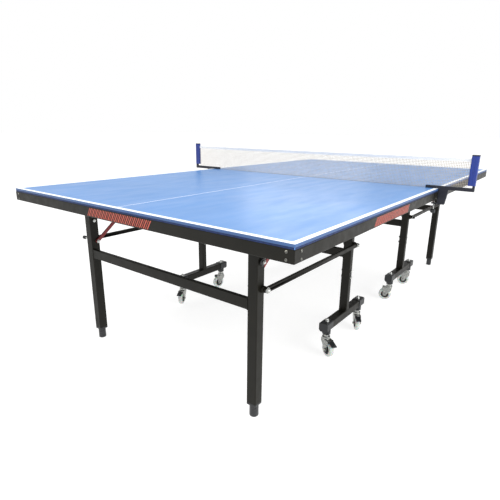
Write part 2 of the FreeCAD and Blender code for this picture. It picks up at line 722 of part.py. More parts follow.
def add_casters():
    """Eight swivel casters, each with its own turn; three carry brake pedals."""
    plain = fork()
    braked = brake_fork(plain)
    rolling = wheel()
    pedal = brake_pedal()
    for name, (turn, has_brake) in CASTERS.items():
        half, side, spot = name.split("_")
        y_sign = "" if half == "near" else "-1 * "
        x = "track" if side == "right" else "-track"
        y = f"{y_sign}({CASTER_SPOTS[spot]})"
        parts = {"fork": braked if has_brake else plain, "wheel": rolling}
        if has_brake:
            parts["brake"] = pedal
        for kind, design in parts.items():
            node(f"{name}_{kind}", instance(f"{name}_{kind}_placed", design, x, y, "0", turn))


# ---- net -----------------------------------------------------------------------------

ARM_TOP = "(table_height + arm_thick)"


def net_sheet():
    """The net, cut out at its lower corners to pass over the bracket arms."""
    side = f"{ARM_TOP} + net_clear"
    notch = "arm_inner - 2 * net_clear"
    right = [(notch, "net_bottom"), (notch, side), ("net_half", side), ("net_half", "net_top")]
    left = [(f"-({x})", z) for x, z in reversed(right)]
    return padded("net_sheet", "XZ_Plane", right + left, "net_thick")


def net_bracket():
    """Arm over the panel, gusset beside the apron, lower jaw and post, in one welded piece."""
    jaw_top = "clamp_low + jaw_thick"
    jaw_inner = "clamp_x - jaw_back"
    inside = "table_width / 2 + bracket_play"
    post_inner = "post_outer - post_wide"
    outline = padded("bracket_outline", "XZ_Plane", [
        ("arm_inner", "table_height"), (inside, "table_height"), (inside, jaw_top),
        (jaw_inner, jaw_top), (jaw_inner, "clamp_low"),
        ("table_width / 2 + gusset_low", "clamp_low"),
        ("table_width / 2 + gusset_high", "arm_low"), ("post_outer", "arm_low"),
        ("post_outer", "sleeve_top"), (post_inner, "sleeve_top"), (post_inner, ARM_TOP),
        ("arm_inner", ARM_TOP)], "net_deep")
    hole = rod("jaw_hole", "Z", ("clamp_x", "0", "clamp_low - overcut"),
               "screw_radius + running_gap", "jaw_thick + 2 * overcut")
    return cut("net_bracket", outline, hole)


def net_sleeve():
    """Blue plastic sleeve over the post."""
    middle = "(sleeve_low + sleeve_top) / 2"
    high = "sleeve_top - sleeve_low"
    outer = block("sleeve_outer", ("net_half + sleeve_wide / 2", "0", middle),
                  ("sleeve_wide", "sleeve_deep", high))
    slot = block("sleeve_slot", ("post_outer - post_wide / 2", "0", middle),
                 ("post_wide", "net_deep", high))
    return cut("net_sleeve", outer, slot)


def net_cap():
    high = "(cap_top - sleeve_top)"
    return block("net_cap", ("net_half + sleeve_wide / 2", "0", f"sleeve_top + {high} / 2"),
                 ("sleeve_wide + 2 * cap_lip", "sleeve_deep + cap_lip", high))


def clamp_screw():
    """Threaded rod with a round knob at its lower end, drawn about its own axis."""
    knob = "knob_radius"
    return turned("clamp_screw", "XZ_Plane", [
        ("0", "knob_low"), (f"{knob} - knob_chamfer", "knob_low"),
        (knob, "knob_low + knob_chamfer"), (knob, "knob_high - knob_shoulder"),
        (f"{knob} - knob_shoulder", "knob_high"), ("screw_radius", "knob_high"),
        ("screw_radius", "pad_low"), ("0", "pad_low")], "V_Axis")


def clamp_pad():
    """The disc that the screw presses against the underside of the apron."""
    top = f"{APRON_TOP} - apron_high - pad_gap"
    return rod("clamp_pad", "Z", ("0", "0", "pad_low"), "pad_radius", f"{top} - pad_low")


def add_net():
    """Everything stands on the near side of the net line."""
    node("net_mesh", instance("net_in_place", net_sheet(), "0", "-net_y"))
    pairs = {"net_brackets": net_bracket(), "net_sleeves": net_sleeve(), "net_caps": net_cap()}
    for label, design in pairs.items():
        right = instance(f"{label}_right_side", design, "0", "-net_y")
        left = instance(f"{label}_left_side", design, "0", "-net_y", "0", 180)
        node(label, right, left)
    pad = clamp_pad()
    screw = clamp_screw()
    for side, sign in (("right", ""), ("left", "-")):
        node(f"net_{side}_pad", instance(f"pad_{side}", pad, f"{sign}clamp_x", "-net_y"))
        node(f"net_{side}_screw", instance(f"screw_{side}", screw, f"{sign}clamp_x", "-net_y"))


# ---- assembly ------------------------------------------------------------------------

def add_halves():
    """The near half, and the far half as the same pieces turned 180 degrees about Z."""
    pieces = {
        "table_panel": [table_panel()],
        "apron_rails": apron_rails(),
        "hinge_rails": hinge_rails(),
        "hinge_bolts": pivot_bolts(),
        "corner_screws": corner_screws(),
        "t_frames": t_frames(),
        "crossbeam": [cross_tube("beam", "-post_pivot_y - post_deep / 2", "beam_low",
                                 "beam_high")],
        "end_sockets": end_sockets(),
        "carriage_bolts": carriage_bolts(),
        "legs": leg_tubes(),
        "leg_crossbar": [cross_tube("leg_bar", "-leg_y - leg_side / 2", "crossbar_low",
                                    "crossbar_high")],
        "link_rods": link_rods(),
        "lock_bars": lock_bars(),
    }
    for half, turn in (("near", 0), ("far", 180)):
        for name, members in pieces.items():
            node(f"{half}_{name}", *members, turn=turn)
        node(f"{half}_leg_bolts", *leg_bolts(latched=half == "near"), turn=turn)
    design = foot()
    for half, y in (("near", "-leg_y"), ("far", "leg_y")):
        for side, x in (("left", "-track"), ("right", "track")):
            node(f"{half}_{side}_foot", instance(f"{half}_{side}_foot_placed", design, x, y))


def check_and_export():
    doc.recompute()
    for thing in doc.Objects:
        if "Invalid" in thing.State or "Error" in thing.State:
            raise RuntimeError(f"{thing.Name} failed: {thing.State}")
    os.makedirs("parts", exist_ok=True)
    for group in nodes:
        if group.Shape.isNull() or not group.Shape.isValid():
            raise RuntimeError(f"{group.Label} has no valid shape")
        group.Shape.exportStep(f"parts/{group.Label}.step")
    print(len(nodes), "nodes written")


fill_sheet()
add_halves()
add_casters()
add_net()
check_and_export()
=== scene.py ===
"""Looks of the folding ping pong table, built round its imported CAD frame. Metres, Z up."""
import json
import math
import random

import bmesh
import bpy
from mathutils import Matrix, Vector


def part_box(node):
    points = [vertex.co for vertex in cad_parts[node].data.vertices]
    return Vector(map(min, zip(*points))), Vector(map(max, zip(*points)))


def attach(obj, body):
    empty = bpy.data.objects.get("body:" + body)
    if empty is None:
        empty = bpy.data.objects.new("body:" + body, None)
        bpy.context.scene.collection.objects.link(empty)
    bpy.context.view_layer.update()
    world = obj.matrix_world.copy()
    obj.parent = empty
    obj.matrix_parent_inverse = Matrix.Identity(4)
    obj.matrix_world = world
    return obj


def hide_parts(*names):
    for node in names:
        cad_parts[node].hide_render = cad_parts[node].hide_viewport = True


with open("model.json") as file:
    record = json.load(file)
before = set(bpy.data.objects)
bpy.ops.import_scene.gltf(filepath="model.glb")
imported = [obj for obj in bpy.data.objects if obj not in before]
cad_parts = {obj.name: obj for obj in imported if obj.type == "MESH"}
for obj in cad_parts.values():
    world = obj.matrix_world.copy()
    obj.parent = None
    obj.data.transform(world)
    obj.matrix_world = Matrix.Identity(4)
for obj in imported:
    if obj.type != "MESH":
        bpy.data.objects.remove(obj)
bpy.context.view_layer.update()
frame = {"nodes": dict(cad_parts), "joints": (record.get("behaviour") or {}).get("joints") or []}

HALVES = (("near", Matrix.Identity(4)), ("far", Matrix.Rotation(math.pi, 4, "Z")))
SIDES = (("right", 1), ("left", -1))
JOINTS = {joint["name"]: joint for joint in frame["joints"]}


# ---- sizes ---------------------------------------------------------------------------

def centre(node):
    low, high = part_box(node)
    return (low + high) / 2


def extent(node):
    low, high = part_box(node)
    return high - low


def pivot(joint):
    return Vector(JOINTS[joint]["pos_m"])


TRACK = centre("near_right_foot").x
LEG_Y = centre("near_right_foot").y
LEG_SIDE = extent("near_legs").y
POST_PIVOT = pivot("near_fold")
LEG_PIVOT = pivot("near_leg_fold")
POST_LINK = pivot("near_link_swing")
LEG_LINK = pivot("near_lock_swing")
PANEL_LOW, PANEL_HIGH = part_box("near_table_panel")
APRON_LOW, APRON_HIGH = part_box("near_apron_rails")
PLATE_THICK = 0.0014
APRON_LOW.x += PLATE_THICK
APRON_HIGH.x -= PLATE_THICK
POST_DEEP = 0.030
BASE_SIDE = 0.040
BASE_LENGTH = 0.303
BASE_Y = -0.423
APRON_THICK = 0.020
NET_RAIL_HIGH = 0.015
PLUG_HIGH = 0.010
TUBE_WALL = 0.002
RAIL_WALL = 0.0015
RAIL_LIP = 0.0004
WASHER_THICK = 0.0015
WASHER_RADIUS = 0.011
PIVOT_RADIUS = 0.005       # pivot and link bolts
PIVOT_HEX = 0.009
SMALL_RADIUS = 0.004       # tie and cap bolts
SMALL_HEX = 0.0075
CAP_BOLT_Z = 0.612
TIE_HEIGHTS = (0.343, 0.375)
ROD_FACE = 0.0448          # outer face of a link rod, from the middle of its upright
STANDOFF_LENGTH = 0.0112
EAR_FACE = 0.0245          # outer face of a hinge ear, from the middle of its rail
LINE_WIDE = 0.020
CENTRE_LINE = 0.003
PAINT_THICK = 0.0002
HAIR = 0.0002             # gap between drawn faces that would otherwise touch


# ---- shapes --------------------------------------------------------------------------

class Shape:
    """Points and faces of a piece, with a material number for each face."""

    def __init__(self):
        self.points = []
        self.faces = []
        self.kinds = []

    def skin(self, rings, kind=0, closed=False, caps=True):
        """Faces between rings of points. closed joins the last ring to the first."""
        first = len(self.points)
        count = len(rings[0])
        for ring in rings:
            self.points += [Vector(point) for point in ring]
        starts = [first + number * count for number in range(len(rings))]
        pairs = list(zip(starts, starts[1:]))
        if closed:
            pairs.append((starts[-1], starts[0]))
        for a, b in pairs:
            for i in range(count):
                j = (i + 1) % count
                self.face((a + i, a + j, b + j, b + i), kind)
        if caps and not closed:
            self.face(tuple(reversed(range(starts[0], starts[0] + count))), kind)
            self.face(tuple(range(starts[-1], starts[-1] + count)), kind)
        return self

    def face(self, corners, kind):
        self.faces.append(corners)
        self.kinds.append(kind)

    def join(self, other, place=None, kind=None):
        """Adds another shape, moved by a matrix."""
        first = len(self.points)
        place = place or Matrix.Identity(4)
        self.points += [place @ point for point in other.points]
        self.faces += [tuple(corner + first for corner in face) for face in other.faces]
        self.kinds += [other_kind if kind is None else kind for other_kind in other.kinds]
        return self

    def moved(self, place):
        return Shape().join(self, place)


def facing(axis, origin):
    """A matrix that puts a shape's own Z axis along axis, at origin."""
    turn = Vector(axis).to_track_quat("Z", "Y").to_matrix().to_4x4()
    return Matrix.Translation(Vector(origin)) @ turn


def outward(sign, y, z):
    """A place on a pair's middle plane, with +Z away from the table's middle."""
    return facing((sign, 0, 0), (sign * TRACK, y, z))


def circle(radius, z, steps, lobes=0, depth=0.0):
    ring = []
    for step in range(steps):
        angle = math.tau * step / steps
        reach = radius - depth * (0.5 - 0.5 * math.cos(lobes * angle))
        ring.append(Vector((reach * math.cos(angle), reach * math.sin(angle), z)))
    return ring


def lathe(profile, steps=40, kind=0, closed=False, lobes=0, depth=0.0):
    """A turned shape from (z, radius) pairs; lobes scallop the rings listed as (z, radius, 1)."""
    rings = []
    for z, radius, *lobed in profile:
        rings.append(circle(radius, z, steps, lobes, depth if lobed else 0.0))
    return Shape().skin(rings, kind, closed)


def rounded(width, height, radius, steps=4, notch=None):
    """A rectangle's outline with round corners; notch is (half width, depth) on two sides."""
    outline = []
    for number, (sx, sy) in enumerate(((1, 1), (-1, 1), (-1, -1), (1, -1))):
        middle = Vector((sx * (width / 2 - radius), sy * (height / 2 - radius)))
        for step in range(steps + 1):
            angle = math.pi / 2 * (number + step / steps)
            outline.append(middle + radius * Vector((math.cos(angle), math.sin(angle))))
        if notch and number in (0, 2):
            half, depth = notch
            for x, deep in ((half, 0), (half * 0.6, depth), (-half * 0.6, depth), (-half, 0)):
                outline.append(Vector((sx * x, sy * (height / 2 - deep))))
    return outline


def level(outline, z, inset=0.0):
    """An outline as a ring at height z, pulled in by inset."""
    ring = []
    for point in outline:
        pull = Vector((math.copysign(min(inset, abs(point.x)), point.x),
                       math.copysign(min(inset, abs(point.y)), point.y)))
        ring.append((point - pull).to_3d() + Vector((0, 0, z)))
    return ring


def soft_edge(outline, low, high, edge, steps=3):
    """Rings from low to high whose first and last edges are rounded over by edge."""
    turns = [math.pi / 2 * step / steps for step in range(steps + 1)]
    eased = [(edge * (1 - math.cos(turn)), edge * (1 - math.sin(turn))) for turn in turns]
    return ([level(outline, low + up, inset) for up, inset in eased]
            + [level(outline, high - up, inset) for up, inset in reversed(eased)])


UNITS = {"X": Vector((1, 0, 0)), "Y": Vector((0, 1, 0)), "Z": Vector((0, 0, 1))}
LAID = {"X": "YZX", "Y": "ZXY", "Z": "XYZ"}      # a shape's own axes when it lies along one


def framed(origin, *axes):
    """A matrix that puts a shape's own X, Y and Z along the axes given, at origin."""
    turn = Matrix.Identity(4)
    for column, axis in enumerate(axes):
        for line in range(3):
            turn[line][column] = axis[line]
    return Matrix.Translation(Vector(origin)) @ turn


def laid(origin, axis):
    """A matrix that lays a shape's own Z along a named axis, at origin."""
    return framed(origin, *(UNITS[name] for name in LAID[axis]))


def spans(low, high, axis):
    """A box's width and height across axis, its half length, and where it lies."""
    low, high = Vector(low), Vector(high)
    wide, tall, length = ((high - low).dot(UNITS[name]) for name in LAID[axis])
    return wide, tall, length / 2, laid((low + high) / 2, axis)


def block(low, high, corner, edge, axis="Z", kind=0):
    """A box with round corners along axis and rounded rims at both ends."""
    wide, tall, half, place = spans(low, high, axis)
    rings = soft_edge(rounded(wide, tall, corner), -half, half, edge)
    return Shape().skin(rings, kind).moved(place)


def open_tube(outline, hollow, lip, start, end, mitres=(0, 0)):
    """A hollow bar along its own Z with eased rims. A mitre of 1 lengthens its +X side."""
    rims = ((hollow, 0, lip), (hollow, 0, 0), (outline, lip, 0), (outline, 0, lip))
    near = [level(section, start + up, inset) for section, inset, up in rims]
    far = [level(section, end - up, inset) for section, inset, up in reversed(rims)]
    for rings, mitre in ((near, -mitres[0]), (far, mitres[1])):
        for ring in rings:
            for point in ring:
                point.z += mitre * point.x
    return Shape().skin(near + far, closed=True)


def tube(low, high, axis, corner=0.004, wall=TUBE_WALL):
    """An open rectangular tube along axis."""
    wide, tall, half, place = spans(low, high, axis)
    hollow = rounded(wide - 2 * wall, tall - 2 * wall, max(corner - wall, 0.0005))
    return open_tube(rounded(wide, tall, corner), hollow, wall / 4, -half, half).moved(place)


def sweep(path, radius, sides=8, ripple=0.0):
    """A round bead that follows a closed path; ripple swells it at every other point."""
    rings = []
    count = len(path)
    for number, point in enumerate(path):
        ahead = (path[(number + 1) % count] - path[number - 1]).normalized()
        swell = radius + (ripple if number % 2 else -ripple)
        turn = ahead.to_track_quat("Z", "Y").to_matrix().to_4x4()
        rings.append([point + (turn @ corner.to_4d()).to_3d()
                      for corner in circle(swell, 0.0, sides)])
    return Shape().skin(rings, closed=True)


def weld(middle, size, axis, corner=0.004, bead=0.0021, step=0.0032):
    """A weld bead round the end of a rectangular tube that meets a face at middle."""
    outline = rounded(size[0], size[1], corner, steps=2)
    path = []
    for start, end in zip(outline, outline[1:] + outline[:1]):
        pieces = max(1, round((end - start).length / step))
        path += [start.lerp(end, number / pieces) for number in range(pieces)]
    if len(path) % 2:
        path.pop()
    place = laid(middle, axis)
    return sweep([place @ point.to_3d() for point in path], bead, ripple=0.00035)


# ---- fasteners, drawn along their own +Z ---------------------------------------------

def hexagon(corner_radius, low, high, chamfer_low=True):
    """A hexagonal head or nut whose chamfers are cut as cones, as they are turned."""
    steps = 48
    flat = corner_radius * math.cos(math.pi / 6)

    def ring(z, limit=None, drop=0.0):
        points = []
        for step in range(steps):
            angle = math.tau * step / steps
            reach = flat / math.cos((angle % (math.pi / 3)) - math.pi / 6)
            lower = (reach - flat) * drop
            reach = min(reach, limit) if limit else reach
            points.append(Vector((reach * math.cos(angle), reach * math.sin(angle), z - lower)))
        return points

    slope = math.tan(math.radians(30))
    rise = flat * 0.03 * slope
    tight = flat * 0.97
    rings = [ring(low, tight), ring(low + rise, None, -slope)]
    if not chamfer_low:
        rings = [ring(low), ring(low + 0.00002)]
    return Shape().skin(rings + [ring(high - rise, None, slope), ring(high, tight)])


def washer(radius, low, high):
    edge = 0.0002
    return lathe([(low, radius - edge), (low + edge, radius), (high - edge, radius),
                  (high, radius - edge)])


def lock_nut(corner_radius, low, high):
    """A hexagonal nut with the round collar of its locking insert."""
    collar = min(0.0022, (high - low) * 0.35)
    shoulder = high - collar
    inside = corner_radius * 0.78
    nut = hexagon(corner_radius, low, shoulder)
    nut.join(lathe([(shoulder - 0.0001, inside), (high - 0.0006, inside),
                    (high, inside - 0.0007), (high, inside * 0.68),
                    (high - 0.0008, inside * 0.66)]))
    return nut


def thread(radius, low, high, pitch=0.00125, depth=0.0007, steps=20):
    """A screw thread as one helical surface, with a chamfered tip at high."""
    rows = max(4, round((high - low) / pitch * 6))
    rings = []
    for row in range(rows + 1):
        z = low + (high - low) * row / rows
        ring = []
        for step in range(steps):
            phase = (z / pitch - step / steps) % 1.0
            fade = min(1.0, max(0.0, (high - z) / pitch))
            reach = radius - depth * abs(2 * phase - 1) - depth * (1 - fade)
            angle = math.tau * step / steps
            ring.append(Vector((reach * math.cos(angle), reach * math.sin(angle), z)))
        rings.append(ring)
    return Shape().skin(rings)


def through_bolt(shank, start, end, head, nut, flat=None):
    """head and nut are (corner radius, low, high) along the bolt; flat is its washer."""
    bolt = hexagon(*head)
    bolt.join(lathe([(head[2], shank), (nut[1] + 0.001, shank)], steps=20))
    bolt.join(lock_nut(*nut))
    if flat:
        bolt.join(washer(*flat))
    tip = max(nut[2], end)
    if end > nut[2]:
        bolt.join(thread(shank, nut[2] - 0.002, tip))
    if start < head[1]:
        bolt.join(lathe([(start, shank * 0.8), (start + 0.0006, shank), (head[1], shank)],
                        steps=20))
    return bolt


def dome_nut():
    """A cap nut: hexagon below, dome above."""
    nut = hexagon(0.0095, 0.0015, 0.007, chamfer_low=False)
    nut.join(washer(0.011, 0.0, 0.0015))
    dome = [(0.0066, 0.0076)]
    for step in range(1, 7):
        angle = math.pi / 2 * step / 6.5
        dome.append((0.0066 + 0.0069 * math.sin(angle), 0.0076 * math.cos(angle)))
    return nut.join(lathe(dome, steps=32))


def button_head():
    """A low screw head with a cross recess, on the face z = 0."""
    head = lathe([(0.0, 0.0044), (0.0005, 0.0045), (0.0011, 0.0041), (0.0016, 0.0032),
                  (0.0019, 0.0021), (0.002, 0.0015)], steps=28)
    for turn in (0, math.pi / 2):
        slot = block((-0.0021, -0.0004, 0.0016), (0.0021, 0.0004, 0.00205), 0.0002, 0.0001, kind=1)
        head.join(slot, Matrix.Rotation(turn, 4, "Z"))
    return head


# ---- materials -----------------------------------------------------------------------

def rgb(red, green, blue):
    """A display colour from 0 to 255 as linear light."""
    parts = []
    for value in (red, green, blue):
        share = value / 255
        parts.append(share / 12.92 if share <= 0.04045 else ((share + 0.055) / 1.055) ** 2.4)
    return tuple(parts)


class Look:
    """A material whose colour, gloss and bump follow noise in the piece's own space."""

    def __init__(self, name, **sockets):
        self.material = bpy.data.materials.new(name)
        self.material.use_nodes = True
        self.tree = self.material.node_tree
        self.shader = self.tree.nodes["Principled BSDF"]
        self.place = self.node("TexCoord").outputs["Object"]
        self.feed_all(self.shader, sockets)

    def feed(self, socket, value):
        """Gives a socket a plain value, or the output of another node."""
        if isinstance(value, bpy.types.NodeSocket):
            self.tree.links.new(value, socket)
        else:
            socket.default_value = value

    def feed_all(self, node, sockets):
        for name, value in sockets.items():
            self.feed(node.inputs[name.replace("_", " ")], value)

    def node(self, kind, settings=(), **sockets):
        made = self.tree.nodes.new("ShaderNode" + kind)
        for name, value in settings:
            setattr(made, name, value)
        self.feed_all(made, sockets)
        return made

    def noise(self, size, detail=3.0, stretch=(1, 1, 1)):
        mapped = self.node("Mapping", Vector=self.place, Scale=stretch).outputs["Vector"]
        return self.node("TexNoise", Vector=mapped, Scale=1 / size, Detail=detail,
                         Roughness=0.55).outputs["Fac"]

    def cells(self, size):
        return self.node("TexVoronoi", Vector=self.place, Scale=1 / size).outputs["Distance"]

    def waves(self, size, direction, distortion=0.0):
        return self.node("TexWave", (("bands_direction", direction),), Vector=self.place,
                         Scale=math.tau / 20 / size, Distortion=distortion,
                         Detail_Scale=2.0).outputs["Fac"]

    def product(self, first, second):
        made = self.node("Math", (("operation", "MULTIPLY"),))
        self.feed(made.inputs[0], first)
        self.feed(made.inputs[1], second)
        return made.outputs["Value"]

    def remap(self, factor, low, high, start=0.3, end=0.7):
        return self.node("MapRange", Value=factor, From_Min=start, From_Max=end, To_Min=low,
                         To_Max=high).outputs["Result"]

    def ramp(self, factor, *stops):
        """A colour that follows factor through (position, colour) stops."""
        made = self.node("ValToRGB", Fac=factor)
        elements = made.color_ramp.elements
        while len(elements) < len(stops):
            elements.new(0.5)
        for element, (position, colour) in zip(elements, stops):
            element.position = position
            element.color = (*colour, 1.0)
        return made.outputs["Color"]

    def mixed(self, factor, first, second):
        """A colour between an output and a plain colour."""
        return self.node("Mix", (("data_type", "RGBA"),), Factor=factor, A=first,
                         B=(*second, 1.0)).outputs["Result"]

    def colour(self, source):
        self.feed_all(self.shader, {"Base Color": source})

    def gloss(self, factor, low, high):
        self.feed_all(self.shader, {"Roughness": self.remap(factor, low, high)})

    def bump(self, height, depth):
        """Gives it relief depth metres high."""
        made = self.node("Bump", Height=height, Distance=depth, Strength=1.0)
        self.feed_all(self.shader, {"Normal": made.outputs["Normal"]})


def shade(colour, factor):
    return tuple(min(1.0, part * factor) for part in colour)


def coated(name, tint, shades, clouds, gloss, grain, ends=(0.3, 0.7), chips=None, **sockets):
    """A coat whose colour, gloss and fine relief each follow noise of their own.

    shades darken and lighten the tint between the ends of the clouds. clouds is (size, detail),
    gloss (size, detail, low, high) and grain (size, detail, depth). A stretch may follow each.
    chips is (size, detail, strength, start, end, colour) of the spots where it has worn.
    """
    look = Look(name, **sockets)
    base = rgb(*tint)
    dark, light = (shade(base, factor) for factor in shades)
    coat = look.ramp(look.noise(*clouds), (ends[0], dark), (ends[1], light))
    if chips:
        size, detail, strength, start, end, worn = chips
        spots = look.remap(look.noise(size, detail), 0.0, strength, start, end)
        coat = look.mixed(spots, coat, rgb(*worn))
    look.colour(coat)
    if gloss:
        size, detail, low, high, *stretch = gloss
        look.gloss(look.noise(size, detail, *stretch), low, high)
    size, detail, depth, *stretch = grain
    look.bump(look.noise(size, detail, *stretch), depth)
    return look.material


def flat_coats():
    """The paints and plastics that are one coat, by the key that pieces use."""
    return {
        "board": coated("board_paint", (80, 131, 190), (0.93, 1.05), (0.45, 4),
                        (0.05, 6, 0.30, 0.40, (1, 0.25, 1)), (0.0016, 2, 0.00003),
                        IOR=1.45, Specular_IOR_Level=0.3),
        "band": coated("band_plastic", (56, 86, 132), (0.85, 1.12), (0.03, 4, (0.3, 0.3, 6)),
                       (0.02, 4, 0.34, 0.48), (0.002, 3, 0.00004), IOR=1.45),
        # the lip's dark navy is painted shade: the shadow line under the edge band, laid over a real
        # 0.5 mm step
        "lip": coated("band_lip_painted_shade", (27, 42, 80), (0.7, 1.4), (0.01, 4), (0.008, 3, 0.45, 0.6),
                      (0.0016, 3, 0.00005), IOR=1.45, Specular_IOR_Level=0.25),
        "back": coated("board_back", (58, 60, 62), (0.8, 1.2), (0.008, 6, (1, 0.2, 1)), None,
                       (0.003, 4, 0.00008), Roughness=0.8),
        "line": coated("line_paint", (238, 242, 246), (0.93, 1.0), (0.035, 6),
                       (0.02, 4, 0.36, 0.50), (0.0015, 2, 0.00003), ends=(0.28, 0.5), IOR=1.45),
        "decal": coated("decal_vinyl", (176, 72, 54), (0.75, 1.1), (0.012, 5),
                        (0.01, 3, 0.3, 0.42), (0.002, 2, 0.00003), ends=(0.3, 0.65), IOR=1.48),
        "coat": coated("powder_coat", (20, 19, 14), (0.82, 1.35), (0.06, 5),
                       (0.03, 4, 0.36, 0.52), (0.0014, 2, 0.00006), ends=(0.32, 0.72),
                       chips=(0.0022, 2, 0.35, 0.66, 0.74, (62, 60, 54)),
                       IOR=1.5, Specular_IOR_Level=0.18),
        "red": coated("lock_red", (128, 30, 34), (0.75, 1.15), (0.02, 5), (0.01, 4, 0.32, 0.46),
                      (0.0015, 2, 0.00006), chips=(0.004, 3, 1.0, 0.70, 0.73, (60, 40, 38)),
                      IOR=1.5),
        "sleeve": coated("sleeve_plastic", (22, 46, 122), (0.8, 1.2), (0.004, 4, (1, 1, 0.06)),
                         (0.012, 4, 0.26, 0.42), (0.004, 4, 0.00008, (1, 1, 0.06)), IOR=1.49),
    }


def zinc_plate(name="zinc_plate", tint=(206, 208, 206)):
    """Bright zinc: metal with cloudy passivation and fine turning marks."""
    look = Look(name, Metallic=1.0)
    bright = rgb(*tint)
    clouds = look.noise(0.006, 4)
    look.colour(look.ramp(clouds, (0.3, shade(bright, 0.72)), (0.55, bright),
                          (0.75, rgb(220, 216, 200))))
    look.gloss(look.noise(0.002, 3), 0.20, 0.42)
    look.bump(look.noise(0.0009, 3, stretch=(1, 1, 4)), 0.00004)
    return look.material


def black_plastic(name="black_plastic", colour=(26, 28, 30), low=0.34, high=0.5):
    """Moulded plastic with a fine spark-eroded grain."""
    look = Look(name, IOR=1.46)
    dark = rgb(*colour)
    look.colour(look.ramp(look.noise(0.02, 4), (0.3, shade(dark, 0.8)), (0.7, shade(dark, 1.3))))
    look.gloss(look.noise(0.01, 4), low, high)
    look.bump(look.cells(0.0009), 0.00004)
    return look.material


def tyre_rubber():
    """Pale translucent polyurethane."""
    look = Look("tyre_urethane", IOR=1.5, Subsurface_Weight=0.35, Subsurface_Scale=0.006)
    pale = rgb(196, 201, 198)
    grime = look.noise(0.009, 5)
    look.colour(look.ramp(grime, (0.3, rgb(158, 160, 155)), (0.55, pale)))
    look.gloss(look.noise(0.004, 4), 0.30, 0.55)
    look.bump(look.noise(0.0018, 3), 0.00006)
    return look.material


def net_thread_look():
    """Twisted nylon: the lay of the yarn shows as fine slanted ridges."""
    look = Look("net_thread", Roughness=0.7, Sheen_Weight=0.3)
    look.colour(look.ramp(look.noise(0.02, 4), (0.3, rgb(152, 142, 128)),
                          (0.7, rgb(174, 164, 149))))
    look.bump(look.waves(0.0007, "DIAGONAL"), 0.00012)
    return look.material


def tape_look():
    """Plain woven white tape."""
    look = Look("net_tape", Roughness=0.82, Sheen_Weight=0.25)
    weave = look.product(look.waves(0.0011, "X", 0.4), look.waves(0.0009, "Z", 0.4))
    look.colour(look.ramp(weave, (0.0, rgb(200, 202, 204)), (0.6, rgb(236, 237, 238))))
    look.bump(weave, 0.00015)
    return look.material


FLOOR_GLOW = 0.78


def floor_paper():
    """A pale studio floor, lifted a little so that shadows stay soft."""
    look = Look("studio_floor", Roughness=0.9, Specular_IOR_Level=0.1,
                Emission_Color=(1, 1, 1, 1), Emission_Strength=FLOOR_GLOW)
    look.colour(look.ramp(look.noise(0.8), (0.3, (0.34, 0.34, 0.335)), (0.7, (0.38, 0.38, 0.375))))
    return look.material


MATERIALS = {
    **flat_coats(),
    "screw": zinc_plate("screw_plate", (104, 104, 100)),
    "fork": zinc_plate("fork_steel", (150, 152, 150)),
    "bracket": black_plastic("bracket_coat", (19, 22, 33), 0.36, 0.5),
    "zinc": zinc_plate(), "plastic": black_plastic(),
    "foot": black_plastic("foot_plastic", (32, 33, 35), 0.22, 0.36),
    "tyre": tyre_rubber(), "thread": net_thread_look(), "tape": tape_look(),
    "hub": black_plastic("hub_plastic", (40, 43, 43), 0.3, 0.45),
    "cap": black_plastic("cap_plastic", (24, 30, 52), 0.3, 0.42),
    "steel": zinc_plate("clamp_steel", (188, 190, 190)),
}


# ---- pieces --------------------------------------------------------------------------

def smooth_by_angle(mesh, limit=math.radians(32)):
    """Consistent normals, and soft shading except across edges sharper than limit."""
    work = bmesh.new()
    work.from_mesh(mesh)
    bmesh.ops.recalc_face_normals(work, faces=work.faces)
    for face in work.faces:
        face.smooth = True
    for edge in work.edges:
        edge.smooth = len(edge.link_faces) == 2 and edge.calc_face_angle(0.0) < limit
    work.to_mesh(mesh)
    work.free()


def piece(name, shape, materials, body, replaces=()):
    """Makes one named piece, riding on a body. materials are keys, one for each kind."""
    mesh = bpy.data.meshes.new(name)
    mesh.from_pydata(shape.points, [], shape.faces)
    for key in materials:
        mesh.materials.append(MATERIALS[key])
    for face, kind in zip(mesh.polygons, shape.kinds):
        face.material_index = kind
    smooth_by_angle(mesh)
    made = bpy.data.objects.new(name, mesh)
    weighted = made.modifiers.new("flat_faces", "WEIGHTED_NORMAL")
    weighted.keep_sharp = True
    bpy.context.scene.collection.objects.link(made)
    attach(made, body)
    if replaces:
        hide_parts(*replaces)
    return made


def both_halves(name, shape, materials, part, replaces=()):
    """The near half's piece, and the far half's as the same shape turned about Z."""
    for half, turn in HALVES:
        nodes = [f"{half}_{node}" for node in replaces]
        piece(f"{half}_{name}", shape.moved(turn), materials, f"{half}_{part}", nodes)


# ---- tops ----------------------------------------------------------------------------

BAND_THICK = 0.001
LIP_HIGH = 0.006
LIP_STEP = 0.0005


def board_shape():
    """The board inside its edge band; kind 1 is its unpainted underside."""
    inset = Vector((BAND_THICK, BAND_THICK, 0))
    shape = block(PANEL_LOW + inset, PANEL_HIGH - inset, 0.002, 0.0004)
    for number, face in enumerate(shape.faces):
        if all(shape.points[corner].z < PANEL_LOW.z + 1e-6 for corner in face):
            shape.kinds[number] = 1
    return shape


